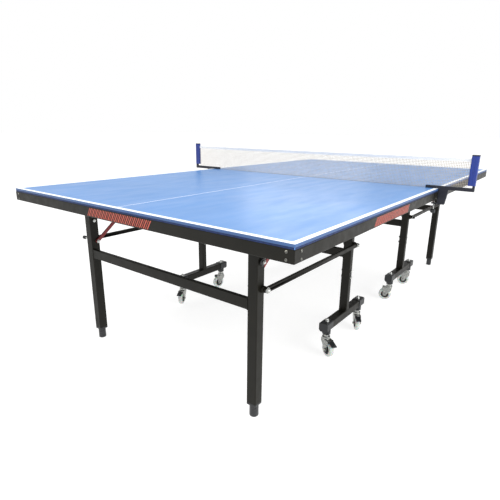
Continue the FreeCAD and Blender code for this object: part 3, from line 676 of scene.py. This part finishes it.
def band_shape():
    """The strip round the board's edge, rounded over; kind 1 is the seam stepped in below it,
    coloured dark navy as painted shade over that real step.
    """
    size, middle = PANEL_HIGH - PANEL_LOW, (PANEL_LOW + PANEL_HIGH) / 2
    outer = rounded(size.x, size.y, 0.004)
    inner = rounded(size.x - 2 * BAND_THICK, size.y - 2 * BAND_THICK, 0.003)
    half = size.z / 2
    soft = 0.0008
    start = -half + LIP_HIGH
    strip = [level(inner, start), level(outer, start, soft), level(outer, start + soft),
             level(outer, half - soft), level(outer, half - soft * 0.3, soft * 0.3),
             level(outer, half, soft), level(inner, half)]
    seam = [level(inner, -half), level(outer, -half, LIP_STEP + HAIR),
            level(outer, -half + 0.0003, LIP_STEP), level(outer, start, LIP_STEP),
            level(inner, start)]
    whole = Shape().skin(strip, closed=True).skin(seam, kind=1, closed=True)
    return whole.moved(Matrix.Translation(middle))


def lines_shape():
    """A half's side lines and end line in one strip, open at the joint, and its centre line."""
    joint = PANEL_HIGH.y - BAND_THICK
    soft = PAINT_THICK / 2
    sections = ((BAND_THICK, 0.003, 0.0), (BAND_THICK, 0.003, soft),
                (BAND_THICK + soft, 0.003, PAINT_THICK), (LINE_WIDE - soft, 0.010, PAINT_THICK),
                (LINE_WIDE, 0.010, soft), (LINE_WIDE, 0.010, 0.0))
    tracks = []
    for inset, radius, up in sections:
        reach = PANEL_HIGH.x - inset
        track = [(reach, joint)]
        for sign, start in ((1, 0.0), (-1, -math.pi / 2)):
            middle = Vector((sign * (reach - radius), PANEL_LOW.y + inset + radius))
            for step in range(7):
                angle = start - math.pi / 2 * step / 6
                track.append(middle + radius * Vector((math.cos(angle), math.sin(angle))))
        track.append((-reach, joint))
        tracks.append([Vector((x, y, PANEL_HIGH.z + up)) for x, y in track])
    shape = Shape().skin([list(ring) for ring in zip(*tracks)])
    return shape.join(block((-CENTRE_LINE / 2, PANEL_LOW.y + LINE_WIDE, PANEL_HIGH.z),
                            (CENTRE_LINE / 2, joint, PANEL_HIGH.z + PAINT_THICK),
                            0.0002, 0.00005))


def apron_shape():
    """Mitred rails on three sides, and the shallow rail along the net line."""
    low, high = APRON_LOW, APRON_HIGH
    half = APRON_THICK / 2
    tall = high.z - low.z
    middle_z = (low.z + high.z) / 2
    outline = rounded(APRON_THICK, tall, 0.0028)
    hollow = rounded(APRON_THICK - 2 * RAIL_WALL, tall - 2 * RAIL_WALL, 0.0015)
    gap = half + HAIR
    whole = Shape()
    for sign in (1, -1):
        side = open_tube(outline, hollow, RAIL_LIP, gap, high.y - low.y, (1, 0))
        whole.join(side, framed((sign * (high.x - half), low.y, middle_z),
                                sign * UNITS["X"], UNITS["Z"], UNITS["Y"]))
    width = high.x - low.x
    end = open_tube(outline, hollow, RAIL_LIP, gap, width - gap, (1, 1))
    whole.join(end, framed((low.x, low.y + half, middle_z), -UNITS["Y"], UNITS["Z"], UNITS["X"]))
    net_rail = tube((low.x + APRON_THICK, high.y - APRON_THICK, high.z - NET_RAIL_HIGH),
                    (high.x - APRON_THICK, high.y, high.z), "X", 0.002, RAIL_WALL)
    return whole.join(net_rail)


PLATE_START = 0.024
PLATE_LENGTH = 0.054
PLATE_MARGIN = 0.003


def joint_plates_shape():
    """A thin pressed plate on each side rail, beside the joint."""
    whole = Shape()
    for sign in (1, -1):
        inner, outer = sorted((sign * APRON_HIGH.x, sign * (APRON_HIGH.x + PLATE_THICK)))
        whole.join(block((inner, -PLATE_START - PLATE_LENGTH, APRON_LOW.z + PLATE_MARGIN),
                         (outer, -PLATE_START, APRON_HIGH.z - PLATE_MARGIN), 0.004, 0.0004, "X"))
    return whole


def rail_plugs_shape():
    """Plastic plugs in the open ends of the side rails, at the net line."""
    low, high = APRON_LOW, APRON_HIGH
    whole = Shape()
    for sign in (1, -1):
        x = sign * (high.x - APRON_THICK / 2)
        half = APRON_THICK / 2 - RAIL_WALL - HAIR
        inner, outer = low.z + RAIL_WALL + HAIR, high.z - RAIL_WALL - HAIR
        whole.join(block((x - half, high.y - 0.012, inner), (x + half, high.y - 0.0003, outer),
                         0.0012, 0.0006, "Y"))
    return whole


END_SCREW_INSET = 0.026
SIDE_SCREW_INSET = 0.034
SCREW_EDGE = 0.009
JOINT_SCREW_Y = -0.045


def apron_screws_shape():
    """Two screws on each face of both outer corners, and one in each joint plate."""
    low, high = APRON_LOW, APRON_HIGH
    whole = Shape()
    for sign in (1, -1):
        for z in (high.z - SCREW_EDGE, low.z + SCREW_EDGE):
            whole.join(button_head(), facing((sign, 0, 0),
                                             (sign * high.x, low.y + SIDE_SCREW_INSET, z)))
            whole.join(button_head(), facing((0, -1, 0),
                                             (sign * (high.x - END_SCREW_INSET), low.y, z)))
        whole.join(button_head(), facing((sign, 0, 0), (sign * (high.x + PLATE_THICK),
                                                        JOINT_SCREW_Y, low.z + SCREW_EDGE)))
    return whole


DECAL_LENGTH = 0.385
DECAL_HIGH = 0.032
DECAL_THICK = 0.00015
DECAL_BARS = 36
DECAL_SLANT = 0.62


def decal_shape():
    """A plain band of evenly spaced diagonal strokes in the plane z = 0."""
    whole = Shape()
    pitch = (DECAL_LENGTH - DECAL_SLANT * DECAL_HIGH) / DECAL_BARS
    lean = DECAL_SLANT * DECAL_HIGH / 2
    half = DECAL_HIGH / 2
    for number in range(DECAL_BARS):
        middle = (number + 0.5 - DECAL_BARS / 2) * pitch
        wide = pitch * (0.56 if number % 2 else 0.34) / 2
        corners = ((middle - wide - lean, -half), (middle + wide - lean, -half),
                   (middle + wide + lean, half), (middle - wide + lean, half))
        whole.skin([[Vector((x, y, z)) for x, y in corners] for z in (0.0, DECAL_THICK)])
    return whole


DECAL_END_X = 0.017
DECAL_SIDE_Y = -0.650


def decals_shape():
    """One motif on the end apron and one on the right-hand side apron."""
    middle_z = (APRON_LOW.z + APRON_HIGH.z) / 2
    motif = decal_shape()
    upright = Matrix.Rotation(math.pi / 2, 4, "X")
    end = Matrix.Translation((DECAL_END_X, APRON_LOW.y, middle_z)) @ upright
    side = (Matrix.Translation((APRON_HIGH.x, DECAL_SIDE_Y, middle_z))
            @ Matrix.Rotation(math.pi / 2, 4, "Z") @ upright)
    return motif.moved(end).join(motif, side)


def hinge_bolts_shape():
    whole = Shape()
    nut = EAR_FACE + WASHER_THICK
    bolt = through_bolt(PIVOT_RADIUS, -0.0325, EAR_FACE + 0.005,
                        (PIVOT_HEX, -EAR_FACE - 0.007, -EAR_FACE), (PIVOT_HEX, nut, nut + 0.0045),
                        (WASHER_RADIUS, EAR_FACE, nut))
    for sign in (1, -1):
        for place in (POST_PIVOT, LEG_PIVOT):
            whole.join(bolt, outward(sign, place.y, place.z))
    return whole


def add_tops():
    for name, shape, materials, slot, replaces in (
            ("board", board_shape(), ("board", "back"), "board_blue", ("table_panel",)),
            ("edge_band", band_shape(), ("band", "lip"), "board_blue", ()),
            ("lines", lines_shape(), ("line",), "board_blue", ()),
            ("apron", apron_shape(), ("coat",), "frame_steel", ("apron_rails",)),
            ("joint_plates", joint_plates_shape(), ("coat",), "frame_steel", ()),
            ("rail_plugs", rail_plugs_shape(), ("plastic",), "black_plastic", ()),
            ("apron_screws", apron_screws_shape(), ("screw", "plastic"), "zinc",
             ("corner_screws",)),
            ("decals", decals_shape(), ("decal",), "lock_red", ()),
            ("pivot_bolts", hinge_bolts_shape(), ("zinc",), "zinc", ("hinge_bolts",))):
        both_halves(name, shape, materials, "top", replaces)


# ---- legs ----------------------------------------------------------------------------

CROSSBAR_CORNER = 0.003


def standoff(sign, place):
    start = LEG_SIDE / 2
    ring = lathe([(start, 0.0122), (start + 0.0008, 0.013), (start + STANDOFF_LENGTH - 0.0008, 0.013),
                  (start + STANDOFF_LENGTH, 0.0122)], steps=36)
    return ring.moved(outward(sign, place.y, place.z))


def cap_ring(sign):
    """The black ring under the cap bolt's nut."""
    start = LEG_SIDE / 2 + 0.005
    ring = lathe([(start - 0.005, 0.006), (start, 0.0065), (start, 0.0130), (start + 0.001, 0.014),
                  (start + 0.0036, 0.014), (start + 0.005, 0.0125), (start + 0.005, 0.0094)],
                 steps=40)
    return ring.moved(outward(sign, LEG_Y, CAP_BOLT_Z))


def legs_shape():
    low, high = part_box("near_legs")
    half = LEG_SIDE / 2
    bottom = low.z + PLUG_HIGH
    bar_low, bar_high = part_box("near_leg_crossbar")
    whole = Shape()
    for sign in (1, -1):
        x = sign * TRACK
        whole.join(tube((x - half, LEG_Y - half, bottom), (x + half, LEG_Y + half, high.z), "Z"))
        whole.join(standoff(sign, LEG_LINK))
        bead = ((bar_low.y + bar_high.y) / 2, (bar_low.z + bar_high.z) / 2)
        size = bar_high - bar_low
        whole.join(weld((sign * (TRACK - half), *bead), (size.y, size.z), "X", CROSSBAR_CORNER))
    return whole


def leg_plugs_shape():
    low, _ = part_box("near_legs")
    half = LEG_SIDE / 2
    whole = Shape()
    for sign in (1, -1):
        x = sign * TRACK
        whole.join(block((x - half, LEG_Y - half, low.z), (x + half, LEG_Y + half, low.z + PLUG_HIGH),
                         0.004, 0.0018))
        whole.join(cap_ring(sign))
    return whole


def crossbar_shape(node):
    low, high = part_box(node)
    return tube(low, high, "X", CROSSBAR_CORNER)


BAR_REACH = 0.036      # inner end of a leg link bolt's head
LATCH = (0.074, 0.093)      # the near left knob's ends, from the middle of its leg
SHORT_KNOB = (ROD_FACE + WASHER_THICK, ROD_FACE + 0.0115)
LINK_HEAD = 0.0065


def nutted_link(reach):
    """A link bolt with its head inboard and its nut outboard of the rod."""
    nut = ROD_FACE + WASHER_THICK
    return through_bolt(PIVOT_RADIUS, -reach - 0.002, ROD_FACE + 0.010,
                        (PIVOT_HEX, -reach, -reach + LINK_HEAD), (PIVOT_HEX, nut, nut + 0.007),
                        (WASHER_RADIUS, ROD_FACE, nut))


def knobbed_link(reach, knob):
    """A link bolt whose knob (kind 1) is outboard and whose nut is inboard."""
    start, end = knob
    bolt = lock_nut(PIVOT_HEX, 0.0, LINK_HEAD).moved(Matrix.Rotation(math.pi, 4, "X"))
    bolt = bolt.moved(Matrix.Translation((0, 0, LINK_HEAD - reach)))
    bolt.join(lathe([(-reach - 0.002, 0.0042), (-reach - 0.0015, PIVOT_RADIUS),
                     (start + 0.002, PIVOT_RADIUS)], steps=20))
    grip = [(start, 0.0060), (start + 0.0008, 0.0078), (start + 0.0024, 0.0088, 1),
            (end - 0.0030, 0.0090, 1), (end - 0.0014, 0.0084), (end - 0.0003, 0.0066),
            (end, 0.0040)]
    bolt.join(lathe(grip, steps=60, kind=1, lobes=12, depth=0.0007))
    return bolt.join(washer(WASHER_RADIUS, ROD_FACE, ROD_FACE + WASHER_THICK))


def leg_bolts_shape(latched):
    """Link bolts that also carry the lock bars, and the cap bolts."""
    half = LEG_SIDE / 2
    links = (nutted_link(BAR_REACH), knobbed_link(BAR_REACH, LATCH if latched else SHORT_KNOB))
    cap = through_bolt(SMALL_RADIUS, -half - 0.007, half + 0.018, (SMALL_HEX, -half - 0.006, -half),
                       (SMALL_HEX, half + 0.010, half + 0.016))
    whole = Shape()
    for sign, link in zip((1, -1), links):
        whole.join(link, outward(sign, LEG_LINK.y, LEG_LINK.z))
        whole.join(cap, outward(sign, LEG_Y, CAP_BOLT_Z))
    return whole


def foot_shape():
    """A plain levelling foot with a rounded sole, a fine mould step and a threaded stem."""
    low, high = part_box("near_right_foot")
    base = [(0.0, 0.0138), (0.0003, 0.0148), (0.0010, 0.0160), (0.0020, 0.0169),
            (0.0034, 0.0175), (0.0100, 0.0175), (0.0103, 0.0172), (0.0109, 0.0172),
            (0.0112, 0.0175), (0.0462, 0.0175), (0.0473, 0.0172), (0.0480, 0.0164),
            (0.0480, 0.0045)]
    stem = thread(0.004, 0.0475, high.z - low.z, depth=0.0005)
    return lathe(base, steps=72).join(stem, kind=1)


def add_legs():
    both_halves("leg_tubes", legs_shape(), ("coat",), "legs", ("legs",))
    both_halves("leg_plugs", leg_plugs_shape(), ("plastic",), "legs")
    both_halves("leg_crosstube", crossbar_shape("near_leg_crossbar"), ("coat",), "legs",
                ("leg_crossbar",))
    for half, turn in HALVES:
        shape = leg_bolts_shape(latched=half == "near").moved(turn)
        piece(f"{half}_leg_fasteners", shape, ("zinc", "plastic"), f"{half}_legs",
              (f"{half}_leg_bolts",))
    shape = foot_shape()
    for half in ("near", "far"):
        for side in ("left", "right"):
            node = f"{half}_{side}_foot"
            spot = centre(node)
            spot.z = 0.0
            piece(f"{node}_pad", shape.moved(Matrix.Translation(spot)), ("foot", "zinc"), node,
                  (node,))


# ---- carriages -----------------------------------------------------------------------

def t_frames_shape():
    low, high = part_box("near_t_frames")
    half = LEG_SIDE / 2
    base_top = low.z + BASE_SIDE
    beam_low, beam_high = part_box("near_crossbeam")
    whole = Shape()
    for sign in (1, -1):
        x = sign * TRACK
        y = POST_PIVOT.y
        whole.join(tube((x - half, y - POST_DEEP / 2, base_top),
                        (x + half, y + POST_DEEP / 2, high.z), "Z"))
        whole.join(tube((x - BASE_SIDE / 2, BASE_Y - BASE_LENGTH / 2, low.z),
                        (x + BASE_SIDE / 2, BASE_Y + BASE_LENGTH / 2, base_top), "Y"))
        whole.join(weld((x, y, base_top), (LEG_SIDE - 0.002, POST_DEEP), "Z"))
        beam = ((beam_low.y + beam_high.y) / 2, (beam_low.z + beam_high.z) / 2)
        size = beam_high - beam_low
        whole.join(weld((sign * (TRACK - half), *beam), (size.y, size.z), "X", CROSSBAR_CORNER))
        whole.join(standoff(sign, POST_LINK))
    return whole


def carriage_bolts_shape():
    """Link bolts, tie bolts put in from the left, and a cap nut over each caster."""
    half = LEG_SIDE / 2
    reach = half + LINK_HEAD
    links = (nutted_link(reach), knobbed_link(reach, SHORT_KNOB))
    tie = through_bolt(SMALL_RADIUS, -half - 0.005, half + 0.009, (SMALL_HEX, -half - 0.005, -half),
                       (SMALL_HEX, half, half + 0.007))
    _, socket_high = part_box("near_end_sockets")
    whole = Shape()
    for sign, link in zip((1, -1), links):
        whole.join(link, outward(sign, POST_LINK.y, POST_LINK.z))
        for z in TIE_HEIGHTS:
            whole.join(tie, facing((1, 0, 0), (sign * TRACK, POST_PIVOT.y, z)))
    for side, sign in SIDES:
        for spot in ("inner", "outer"):
            place = pivot(f"near_{side}_{spot}_swivel")
            whole.join(dome_nut(), Matrix.Translation((place.x, place.y, socket_high.z)))
    return whole


def add_carriages():
    both_halves("t_frame_tubes", t_frames_shape(), ("coat",), "carriage",
                ("t_frames",))
    both_halves("cross_beam_tube", crossbar_shape("near_crossbeam"), ("coat",), "carriage",
                ("crossbeam",))
    both_halves("carriage_fasteners", carriage_bolts_shape(), ("zinc", "plastic"), "carriage",
                ("carriage_bolts",))


# ---- casters -------------------------------------------------------------------------

WHEEL_RADIUS = 0.0375
WHEEL_HALF = 0.012
TYRE_INNER = 0.0235


def mirrored(profile):
    """A (z, radius) profile and its mirror image, in order along z."""
    return [(-z, *rest) for z, *rest in reversed(profile)] + profile


def tyre_shape():
    """A crowned tread with rounded shoulders."""
    outside = [(0.0004, WHEEL_RADIUS), (0.0035, WHEEL_RADIUS - 0.0001),
               (0.0068, WHEEL_RADIUS - 0.0008), (0.0092, WHEEL_RADIUS - 0.0022),
               (0.0108, WHEEL_RADIUS - 0.0045), (0.0118, WHEEL_RADIUS - 0.0078),
               (WHEEL_HALF, TYRE_INNER + 0.0040), (0.0114, TYRE_INNER + 0.0022),
               (0.0112, TYRE_INNER + 0.0006), (0.0104, TYRE_INNER)]
    return lathe(mirrored(outside), steps=72, closed=True)


def hub_shape():
    """The wheel's plastic centre: rim, recessed web, ribs and a raised boss."""
    side = [(0.0060, TYRE_INNER + 0.0004), (0.0106, TYRE_INNER), (0.0110, TYRE_INNER - 0.0006),
            (0.0108, TYRE_INNER - 0.0026), (0.0080, TYRE_INNER - 0.0036), (0.0076, 0.0118),
            (0.0090, 0.0108), (0.0112, 0.0104), (0.0118, 0.0096), (0.0118, 0.0080)]
    inside = [(0.0118, 0.0060), (0.0050, 0.0055)]
    whole = lathe(mirrored(side + inside), steps=60, closed=True)
    ribs = 6
    for number in range(ribs):
        for sign in (1, -1):
            rib = block((0.0106, -0.0008, sign * 0.0092 - 0.0012),
                        (TYRE_INNER - 0.0028, 0.0008, sign * 0.0092 + 0.0012), 0.0004, 0.0003)
            whole.join(rib, Matrix.Rotation(math.tau * (number + 0.5) / ribs, 4, "Z"))
    return whole


def bearing_shape():
    """The bright bush that turns on the axle."""
    side = [(0.0030, 0.0059), (0.0119, 0.0059), (0.01195, 0.0055), (0.01195, 0.0046),
            (0.0116, 0.00425)]
    return lathe(mirrored(side), steps=36, closed=True)


def add_wheels():
    shapes = {"tyre": (tyre_shape(), "tyre", "tyre"), "hub": (hub_shape(), "hub", "black_plastic"),
              "bush": (bearing_shape(), "zinc", "zinc")}
    for name, joint in JOINTS.items():
        if not name.endswith("_spin"):
            continue
        wheel = name[:-len("_spin")] + "_wheel"
        place = facing(joint["axis"], joint["pos_m"])
        for kind, (shape, material, slot) in shapes.items():
            nodes = (wheel,) if kind == "tyre" else ()
            piece(f"{wheel}_{kind}", shape.moved(place), (material,), wheel, nodes)


# ---- net -----------------------------------------------------------------------------

NET_LOW, NET_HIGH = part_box("net_mesh")
NET_Y = (NET_LOW.y + NET_HIGH.y) / 2
NOTCH_X = 0.698           # the net is cut short over the bracket arms beyond this
NOTCH_Z = 0.775
MESH_PITCH = 0.0075
THREAD_RADIUS = 0.0007
CORD_RADIUS = 0.0009
TAPE_HIGH = 0.015
TAPE_SAG = 0.0015


def net_point(across, up):
    """A point of the hanging net: across and up run from 0 to 1."""
    sag = TAPE_SAG * 4 * across * (1 - across)
    swing = 0.0016 * math.sin(math.tau * 1.5 * across + 0.6) * (1 - up)
    swing += 0.0007 * math.sin(math.tau * 7 * across) * (1 - up)
    return Vector((NET_LOW.x + across * (NET_HIGH.x - NET_LOW.x), NET_Y + swing,
                   NET_LOW.z + up * (NET_HIGH.z - NET_LOW.z) - sag * (0.4 + 0.6 * up)))


def strand(shape, points, radius, upright, sides=4):
    """A thin thread through points, its rings level or standing."""
    rings = []
    for point in points:
        ring = []
        for step in range(sides):
            angle = math.tau * step / sides
            first, second = radius * math.cos(angle), radius * math.sin(angle)
            offset = Vector((first, second, 0)) if upright else Vector((0, first, second))
            ring.append(point + offset)
        rings.append(ring)
    shape.skin(rings)


def knot(shape, point, radius):
    first = len(shape.points)
    for axis in range(3):
        for sign in (1, -1):
            offset = Vector((0, 0, 0))
            offset[axis] = sign * radius
            shape.points.append(point + offset)
    for x in (0, 1):
        for y in (2, 3):
            for z in (4, 5):
                shape.face((first + x, first + y, first + z), 0)


def netting(rng):
    """Square knotted mesh from the tape down to its bottom cord, cut short over the arms."""
    shape = Shape()
    columns = round((NET_HIGH.x - NET_LOW.x) / MESH_PITCH)
    rows = round((NET_HIGH.z - NET_LOW.z - TAPE_HIGH) / MESH_PITCH)
    top = 1 - TAPE_HIGH * 0.8 / (NET_HIGH.z - NET_LOW.z)
    slack = 0.0006
    grid = [[net_point((column + 0.5) / (columns + 1), top * row / rows)
             + Vector((rng.uniform(-slack, slack), rng.uniform(-slack, slack) / 2,
                       rng.uniform(-slack, slack) if 0 < row < rows else 0))
             for row in range(rows + 1)] for column in range(columns + 1)]
    lift = math.ceil((NOTCH_Z - NET_LOW.z + CORD_RADIUS) / (grid[0][rows].z - grid[0][0].z) * rows)
    for line in grid:
        strand(shape, line[0 if abs(line[0].x) < NOTCH_X else lift:], THREAD_RADIUS, True)
    for row in range(rows):
        line = [column[row] for column in grid]
        if row < lift:
            line = [point for point in line if abs(point.x) < NOTCH_X]
        for point in line:
            knot(shape, point, THREAD_RADIUS * 1.6)
        if row >= lift:
            line = [net_point(0, top * row / rows)] + line + [net_point(1, top * row / rows)]
        strand(shape, line, THREAD_RADIUS if row else CORD_RADIUS, False)
    return shape


def tape():
    """White tape folded over the top cord, with two rows of stitches."""
    steps = 240
    half = 0.0008
    bulge = 0.0017
    section = [(-half, -TAPE_HIGH), (-half * 1.2, -TAPE_HIGH * 0.6), (-half * 1.3, -0.0046),
               (-bulge, -0.0024), (-bulge * 0.75, -0.0007), (0.0, 0.0), (bulge * 0.75, -0.0007),
               (bulge, -0.0024), (half * 1.3, -0.0046), (half * 1.2, -TAPE_HIGH * 0.6),
               (half, -TAPE_HIGH), (half * 0.3, -TAPE_HIGH + 0.0002),
               (-half * 0.3, -TAPE_HIGH + 0.0002)]
    shape = Shape()
    rings = []
    for step in range(steps + 1):
        across = step / steps
        base = net_point(across, 1.0)
        sway = 0.0004 * math.sin(math.tau * 9 * across) + 0.0002 * math.sin(math.tau * 31 * across)
        rings.append([base + Vector((0, y + sway * (-z / TAPE_HIGH), z)) for y, z in section])
    shape.skin(rings, kind=1)
    return shape.join(stitches(half))


def stitches(half):
    """Short raised threads along the lower edge of the tape, on both faces."""
    whole = Shape()
    length, gap = 0.0034, 0.0012
    width = NET_HIGH.x - NET_LOW.x
    count = int(width / (length + gap))
    for number in range(count):
        start = (number + 0.5) * (length + gap) / width
        for face in (1, -1):
            rings = []
            for share, radius in ((0.0, 0.0001), (0.15, 0.00026), (0.85, 0.00026), (1.0, 0.0001)):
                spot = net_point(start + share * length / width, 1.0)
                spot += Vector((0, face * half * 1.15, -TAPE_HIGH + 0.0028))
                rings.append([spot + Vector((0, radius * math.cos(turn), radius * math.sin(turn)))
                              for turn in (0.5, 2.07, 3.64, 5.21)])
            whole.skin(rings, kind=1)
    return whole


def sleeve_shape():
    """A blue extruded sleeve on each post, with a shallow groove down both broad faces."""
    low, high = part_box("net_sleeves")
    cap_low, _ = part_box("net_caps")
    wide = high.x + NET_LOW.x
    middle_y = (low.y + high.y) / 2
    outline = rounded(wide, high.y - low.y, 0.0045, notch=(0.0016, 0.0007))
    whole = Shape()
    for sign in (1, -1):
        rings = soft_edge(outline, low.z, cap_low.z, 0.0012)
        place = Matrix.Translation((sign * (high.x - wide / 2), middle_y, 0))
        whole.join(Shape().skin(rings), place)
    return whole


def caps_shape():
    low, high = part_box("net_caps")
    wide = high.x + NET_LOW.x
    whole = Shape()
    for sign in (1, -1):
        x = sign * (high.x - wide / 2)
        whole.join(block((x - wide / 2, low.y, low.z), (x + wide / 2, high.y, high.z), 0.005,
                         0.0022))
    return whole


def add_net():
    rng = random.Random(7)
    shape = netting(rng)
    shape.join(tape())
    net = piece("net", shape, ("thread", "tape"), "near_top", ("net_mesh",))
    piece("net_sleeve_pair", sleeve_shape(), ("sleeve",), "near_top", ("net_sleeves",))
    piece("net_post_caps", caps_shape(), ("cap",), "near_top", ("net_caps",))
    for side, sign in SIDES:
        add_clamp(side)


def add_clamp(side):
    """The threaded screw and the lobed knob that turn together."""
    node = f"net_{side}_screw"
    low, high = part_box(node)
    spot = centre(node)
    place = Matrix.Translation((spot.x, spot.y, 0))
    knob_high = 0.020
    top = low.z + knob_high
    knob = lathe([(low.z, 0.0080), (low.z + 0.0006, 0.0095), (low.z + 0.0016, 0.0112, 1),
                  (low.z + 0.0030, 0.0120, 1), (top - 0.0050, 0.0120, 1), (top - 0.0032, 0.0113, 1),
                  (top - 0.0018, 0.0090), (top - 0.0006, 0.0066), (top, 0.0058), (top, 0.0040)],
                 steps=84, lobes=7, depth=0.0016)
    piece(f"net_{side}_knob", knob.moved(place), ("plastic",), node, (node,))
    screw = thread(0.004, top - 0.001, high.z)
    piece(f"net_{side}_thread", screw.moved(place), ("steel",), node)


# ---- CAD pieces that keep their shape --------------------------------------------------

def soften(node, key, width):
    """Gives a CAD node its material and rounds its sharp edges."""
    part = frame["nodes"][node]
    part.data.materials.clear()
    part.data.materials.append(MATERIALS[key])
    joined_up = part.modifiers.new("join_corners", "WELD")
    joined_up.merge_threshold = 1e-5
    bevel = part.modifiers.new("soft_edges", "BEVEL")
    bevel.width = width
    bevel.segments = 2
    bevel.limit_method = "ANGLE"
    bevel.angle_limit = math.radians(40)
    bevel.use_clamp_overlap = False
    bevel.harden_normals = True


def dress_cad_nodes():
    for half in ("near", "far"):
        soften(f"{half}_hinge_rails", "coat", 0.0006)
        soften(f"{half}_link_rods", "coat", 0.0016)
        soften(f"{half}_lock_bars", "red", 0.0012)
        soften(f"{half}_end_sockets", "plastic", 0.0012)
    for name in frame["nodes"]:
        if name.endswith("_fork"):
            soften(name, "fork", 0.0005)
        elif name.endswith("_brake"):
            soften(name, "plastic", 0.0007)
        elif name.endswith("_pad"):
            soften(name, "plastic", 0.0006)
    soften("net_brackets", "bracket", 0.0012)


# ---- stage ---------------------------------------------------------------------------

CAMERA_PLACE = (1.2795, -2.2284, 1.0375)
CAMERA_YAW = 0.655
CAMERA_PITCH = 0.286
CAMERA_ROLL = 0.011
CAMERA_LENS = 29.75


def add_camera():
    """Eye level just above the net, beside the near right corner."""
    data = bpy.data.cameras.new("camera")
    data.lens = CAMERA_LENS
    data.sensor_width = 36.0
    data.clip_start = 0.05
    data.clip_end = 200.0
    camera = bpy.data.objects.new("camera", data)
    turn = (Matrix.Rotation(CAMERA_YAW, 4, "Z")
            @ Matrix.Rotation(math.pi / 2 - CAMERA_PITCH, 4, "X")
            @ Matrix.Rotation(CAMERA_ROLL, 4, "Z"))
    camera.matrix_world = Matrix.Translation(CAMERA_PLACE) @ turn
    bpy.context.scene.collection.objects.link(camera)
    bpy.context.scene.camera = camera


FLOOR_REACH = 60.0


def add_floor():
    mesh = bpy.data.meshes.new("floor")
    signs = ((-1, -1), (1, -1), (1, 1), (-1, 1))
    corners = [(x * FLOOR_REACH, y * FLOOR_REACH, 0) for x, y in signs]
    mesh.from_pydata(corners, [], [(0, 1, 2, 3)])
    mesh.materials.append(floor_paper())
    floor = bpy.data.objects.new("floor", mesh)
    bpy.context.scene.collection.objects.link(floor)


def add_light(name, place, target, size, power):
    """A soft area light; size is its width and height."""
    data = bpy.data.lights.new(name, "AREA")
    data.energy = power
    data.shape = "RECTANGLE"
    data.size, data.size_y = size
    light = bpy.data.objects.new(name, data)
    light.visible_camera = False
    aim = (Vector(target) - Vector(place)).to_track_quat("-Z", "Y")
    light.matrix_world = Matrix.Translation(place) @ aim.to_matrix().to_4x4()
    bpy.context.scene.collection.objects.link(light)


STAGE_MIDDLE = (0.0, 0.0, 0.6)
LIGHTS = (     # name, place, target, size, power
    ("key", (0.5, -3.5, 4.5), STAGE_MIDDLE, (3.0, 3.0), 120),
    ("fill", (4.5, -1.0, 2.2), STAGE_MIDDLE, (3.0, 3.0), 150),
    ("window", (-2.2, 3.8, 2.3), (0.7, -1.25, 0.76), (2.0, 1.2), 14))


def add_lights():
    world = bpy.data.worlds.new("studio")
    world.use_nodes = True
    sky = world.node_tree.nodes["Background"]
    sky.inputs["Color"].default_value = (1.0, 1.0, 1.0, 1.0)
    sky.inputs["Strength"].default_value = 1.0
    bpy.context.scene.world = world
    for light in LIGHTS:
        add_light(*light)
    bpy.context.scene.view_settings.view_transform = "Standard"


add_tops()
add_legs()
add_carriages()
add_wheels()
add_net()
dress_cad_nodes()
add_floor()
add_lights()
add_camera()
